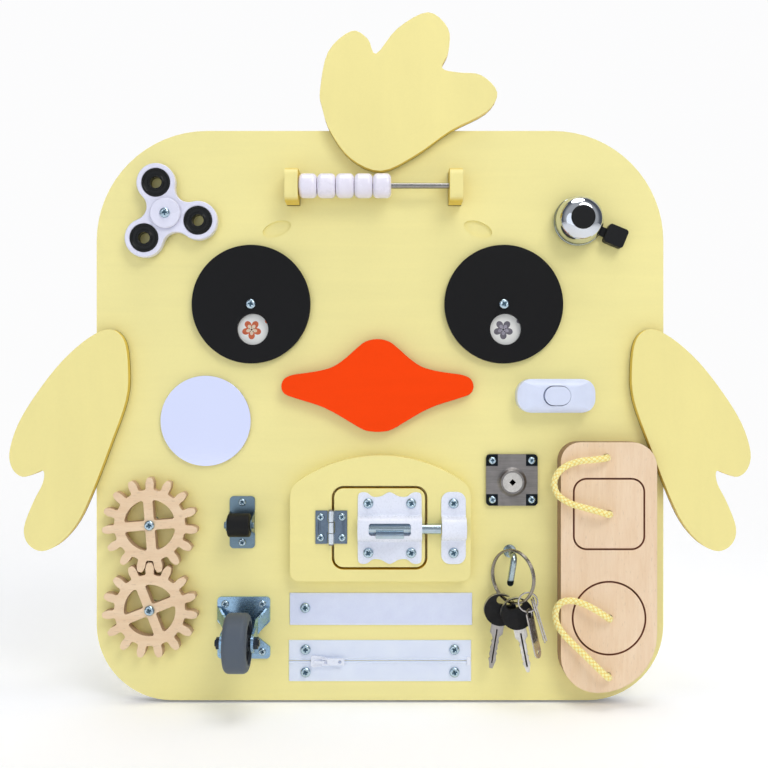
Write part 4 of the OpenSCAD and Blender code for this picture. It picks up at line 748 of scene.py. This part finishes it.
def evenly(curve, step):
    """The same line with its points a step apart, and its length."""
    lengths = [0.0]
    for a, b in zip(curve, curve[1:]):
        lengths.append(lengths[-1] + (b - a).length)
    count = max(2, round(lengths[-1] / step))
    points, k = [], 0
    for i in range(count + 1):
        at = lengths[-1] * i / count
        while k < len(curve) - 2 and lengths[k + 1] < at:
            k += 1
        share = (at - lengths[k]) / max(lengths[k + 1] - lengths[k], 1e-9)
        points.append(curve[k].lerp(curve[k + 1], min(1, share)))
    return points, lengths[-1]


ROPE_R = 2.5 * MM
FAMILY = 4
BRAID_PITCH = 15 * MM
STEP = 0.22 * MM
AROUND = 48


def braid(i, k):
    """Radius of the braid: each strand is a low ridge, sunk where it runs under the other family."""
    turn, along = k / AROUND * FAMILY, i * STEP / BRAID_PITCH * FAMILY
    one, two = (abs(math.sin(math.pi * way)) for way in (turn + along, turn - along))
    over = (math.floor(turn + along) + math.floor(turn - along)) % 2
    high, low = (one, two) if over else (two, one)
    return ROPE_R * (0.76 + 0.26 * max(high ** 0.7, 0.6 * low ** 0.7))


def braided(name, points, finish):
    """A tube along the points with the braid's relief. Its UVs run round and along it."""
    mesh = bmesh.new()
    side = Vector((0.3, 0.5, 0.8))
    rings = []
    last = len(points) - 1
    for i, point in enumerate(points):
        ahead = (points[min(i + 1, last)] - points[max(i - 1, 0)]).normalized()
        side = (side - side.dot(ahead) * ahead).normalized()
        up = ahead.cross(side)
        turns = (2 * math.pi * k / AROUND for k in range(AROUND))
        rings.append([mesh.verts.new(point + braid(i, k) * (math.cos(a) * side + math.sin(a) * up))
                      for k, a in enumerate(turns)])
    for low, high in zip(rings, rings[1:]):
        for k in range(AROUND):
            mesh.faces.new((low[k], low[(k + 1) % AROUND], high[(k + 1) % AROUND], high[k]))
    mesh.faces.new(rings[0][::-1])
    mesh.faces.new(rings[-1])
    wrap = mesh.loops.layers.uv.new("wrap")
    for n, face in enumerate(mesh.faces):
        i, k = divmod(n, AROUND)
        for loop, (along, turn) in zip(face.loops, ((i, k), (i, k + 1), (i + 1, k + 1), (i + 1, k))):
            loop[wrap].uv = (turn / AROUND, along * STEP / BRAID_PITCH)
    return new_piece(name, mesh, finish)


rope_cloth = Finish("rope_cloth", Roughness=0.72, Sheen_Weight=0.2)
fibre = rope_cloth.noise(1500, 3, 0.6)
fuzz = (fibre * 0.5 + rope_cloth.noise(220, 2) * 0.5).spread(0.35, 0.65, 0, 0.25)
turn, along = (rope_cloth.axis(k, "UV") * FAMILY for k in (0, 1))
one, two = (abs(rope_cloth.maths("SINE", way * math.pi)) for way in (turn + along, turn - along))
# Painted light and shade: the braid's crests are lighter, the hollows between strands darker.
crest_light = (one * two).spread(0.05, 0.6) * 0.8
rope_cloth.set("Base Color", rope_cloth.mix(crest_light + fuzz, linear(244, 212, 108), linear(255, 250, 182)))
rope_cloth.bump(fibre, 0.12, 0.9)


def rope(name, route, node):
    """A cord over (x, z, height over the board) points, swept as a braided tube in place of its CAD node."""
    points, length = evenly(spline([on_board(*point) for point in route], 16), STEP)
    piece = braided(name, points, rope_cloth)
    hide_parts(node)
    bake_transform(piece)
    [tuple(p) for p in points[::8] + [points[-1]]]


rope("upper_braid", [
    (173, -31.5, 10), (173, -31.5, 13.5), (172.6, -31.5, 19.5), (168.5, -31.8, 23.6), (161, -32.6, 24),
    (151, -34, 21), (141, -38, 19), (134.5, -44.5, 18), (132.5, -52, 18), (135.5, -60, 18.5),
    (144.5, -66, 20), (155, -69, 23), (164.5, -71.5, 24.5), (171.5, -73.8, 22.6), (174.6, -74.6, 19),
    (*SQUARE, 14), (*SQUARE, 10)], "upper_rope")
rope("lower_braid", [
    (174, -198.5, 10), (174, -198.5, 14), (173.9, -198.5, 19), (171.5, -196.5, 22.8), (165, -190.3, 24.2),
    (157, -182.5, 23), (148.5, -174.5, 20.5), (140, -166, 18.5), (134.3, -157, 18), (133.8, -148, 18),
    (138, -141.5, 18.5), (146, -139.8, 20), (155, -142, 22.5), (163.5, -146.3, 24), (170.5, -151, 22.8),
    (174.5, -154, 19), (*CIRCLE, 14), (*CIRCLE, 10)], "lower_rope")


# ---- Screws ----
# Pan heads with a cross recess, zinc plated with a blue tint. The eye discs, gears and spinner turn on
# shouldered screws. Each head is a little turned, as hands leave them.
def cross(size):
    """Depth of a cross recess at u, v for a head of this radius."""
    def depth(u, v):
        deep = 0
        for along, aside in ((abs(u), abs(v)), (abs(v), abs(u))):
            wall = min(1, max(0, (size * (0.17 - 0.06 * along / size) - aside) / (size * 0.05) + 0.5))
            end = min(1, max(0, (size * 0.5 - along) / (size * 0.08) + 0.5))
            deep = max(deep, wall * end * size * (0.42 - 0.4 * along / size))
        return deep
    return depth


SMALL = (3, 1.9)
LARGE = (4, 2.4)
SHOULDER = 3
DOOR_OUT = 10
GEAR_X, GEARS_Z = -177, (-84, -149.4)
SPINNER = (-165, 156)
hands = random.Random(8)


def screw(mesh, x, z, seat, size, shoulder=0.0):
    """A pan head over its seat; with a shoulder it stands on a pin of that radius."""
    r, h = size
    crown = [(r * math.cos(a) ** 0.8, seat + 0.35 + (h - 0.35) * math.sin(a))
             for a in (math.radians(13 * i) for i in range(7))]
    rim = crown[-1][0]
    crown += [(rim * (1 - i / 16), seat + h - 0.12 * (i / 16) ** 2) for i in range(1, 17)]
    foot = [(0, 0.05), (shoulder, 0.05), (shoulder, seat)] if shoulder else [(0, seat + 0.02)]
    head = foot + [(r * 0.96, seat + 0.02), (r, seat + 0.12)] + crown
    lathe(mesh, x, z, head, 48, hands.uniform(0, 1.57), cross(r))


def four(x, z, dx, dz):
    return [(x + i * dx, z + j * dz) for i in (-1, 1) for j in (-1, 1)]


def pair(x, z, dz):
    return [(x, z - dz), (x, z + dz)]


def screwed(name, mesh, node, body):
    piece = new_piece(name, mesh, screw_zinc)
    piece.data.materials.append(recess_shade_zinc.material)
    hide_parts(node)
    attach(piece, body)


screw_zinc = metal("screw_zinc", linear(190, 212, 226), 0.16, 3.3, 300)
# Painted shade: the walls of each cross recess take this darker zinc.
recess_shade_zinc = metal("screw_recess_shade", linear(84, 112, 130), 0.35, 2.4, 300)
dress(screw_zinc, "board_screws", "door_screws")
fixed = bmesh.new()
for places, seat, size in ((four(*LOCK, 15.2, 15.2), 3, SMALL),  # the lock
                           ([(-58.3, -149.6)], 1.1, LARGE),  # the hook-and-loop strip
                           (four(0, ZIPPER_Z, 58, 8.8), 0.8, LARGE),  # the zipper tapes
                           (pair(-107.2, -83, 15.6), 1.5, SMALL),  # the roller bracket
                           (four(-106, -165, 14.4, 18.6), 2, SMALL),  # the caster fork
                           (pair(-45.6, -85.4, 7.9), DOOR_OUT + 1.2, SMALL),  # the hinge
                           (pair(56.5, -86, 19), DOOR_OUT + 1.4, LARGE)):  # the keeper
    for x, z in places:
        screw(fixed, x, z, seat, size)
for x, z in EYES.values():
    screw(fixed, x, z, 5.6, LARGE, SHOULDER)
for z in GEARS_Z:
    screw(fixed, GEAR_X, z, 11.3, LARGE, SHOULDER)
    lathe(fixed, GEAR_X, z, [(3.05, 0.02), (6, 0.02), (6, 2.7), (3.05, 2.7), (3.05, 0.02)])
screw(fixed, *SPINNER, 12.3, LARGE)
screwed("board_heads", fixed, "board_screws", "root")
hung = bmesh.new()
for places, seat, size in ((pair(-29.2, -85.4, 7.9), DOOR_OUT + 1.2, SMALL),  # the hinge
                           (four(7.5, -86, 16.5, 19), DOOR_OUT + 1.4, LARGE)):  # the bolt housing
    for x, z in places:
        screw(hung, x, z, seat, size)
screwed("door_heads", hung, "door_screws", "door")

# ---- Floor and backdrop ----
# One pale sheet of paper that curves up behind the board. Away from the board it is lost in white, so that
# its ends are not seen from the side.
FAR_WHITE = (0.975, 0.975, 0.98)
SWEEP = 0.5
paper = Finish("paper", linear(250, 250, 251), Roughness=0.9, Emission_Color=(1, 1, 1),
               Emission_Strength=0.15)
reach = paper.node("VectorMath", {0: paper.node("TexCoord", out="Object")}, "Value", operation="LENGTH")
lost = reach.spread(0.6, 1.15) * paper.node("LightPath", out="Is Camera Ray")
white = paper.node("Emission", {"Color": FAR_WHITE})
joined = paper.node("MixShader", {0: lost, 1: Wire(paper, paper.shader.outputs[0]), 2: white})
paper.plug(joined, paper.tree.nodes["Material Output"].inputs["Surface"])
backdrop = bmesh.new()
floor = cad_box[0][2] - 1.8 * MM
curve = [(0.6 + SWEEP * math.sin(a), floor + SWEEP * (1 - math.cos(a)))
         for a in (math.pi / 24 * i for i in range(13))]
rows = [[backdrop.verts.new((x, y, z)) for x in (-3, 3)] for y, z in [(-2.5, floor), *curve, (1.1, 3.2)]]
for low, high in zip(rows, rows[1:]):
    backdrop.faces.new((low[0], low[1], high[1], high[0]))
new_piece("backdrop", backdrop, paper)

# ---- Light ----
# One large soft light from the upper right, a weaker one from the left, and a studio whose front is pale
# and whose sides are dark, so that bright metal has something to show. Its far wall looks white.
world = bpy.data.worlds.new("studio")
world.use_nodes = True
studio = Shading(world.node_tree)
front = studio.axis(1, "Generated").spread(-0.5, -0.15, 1, 0)
room = studio.mix(front, (0.10, 0.11, 0.13), (0.44, 0.45, 0.47))
seen = studio.mix(studio.node("LightPath", out="Is Camera Ray"), room, FAR_WHITE)
studio.plug(seen, studio.tree.nodes["Background"].inputs["Color"])
bpy.context.scene.world = world
bpy.context.scene.view_settings.view_transform = "Standard"
bpy.context.scene.view_settings.look = "None"


def area_light(name, place, target, size, power, tint=(1, 1, 1)):
    lamp = bpy.data.objects.new(name, bpy.data.lights.new(name, "AREA"))
    lamp.data.shape = "DISK"
    lamp.data.size = size
    lamp.data.energy = power
    lamp.data.color = tint
    lamp.location = place
    lamp.rotation_euler = (Vector(target) - Vector(place)).to_track_quat("-Z", "Y").to_euler()
    bpy.context.collection.objects.link(lamp)


area_light("key", (0.75, -1.35, 1.35), (0, 0, 0), 1.0, 12.5, (1, 0.985, 0.96))
area_light("fill", (-0.75, -1.6, 0.1), (0, 0, 0), 1.5, 4.9, (0.82, 0.89, 1))
area_light("top", (0.1, -0.2, 1.6), (0, -0.1, 0), 1.0, 11)

# ---- Camera ----
# It stands level with the middle of the board, 725 mm in front of its face, and sees a square of 599 mm
# there.
DISTANCE = 725 * MM
SEEN = 599 * MM
MIDDLE = (3.1 * MM, 24.6 * MM)
camera = bpy.data.objects.new("camera", bpy.data.cameras.new("camera"))
camera.location = (MIDDLE[0], FRONT - DISTANCE, MIDDLE[1])
camera.rotation_euler = (math.radians(90), 0, 0)
camera.data.sensor_width = 36
camera.data.lens = 36 * DISTANCE / SEEN
camera.data.clip_start = 20 * MM
bpy.context.collection.objects.link(camera)
bpy.context.scene.camera = camera
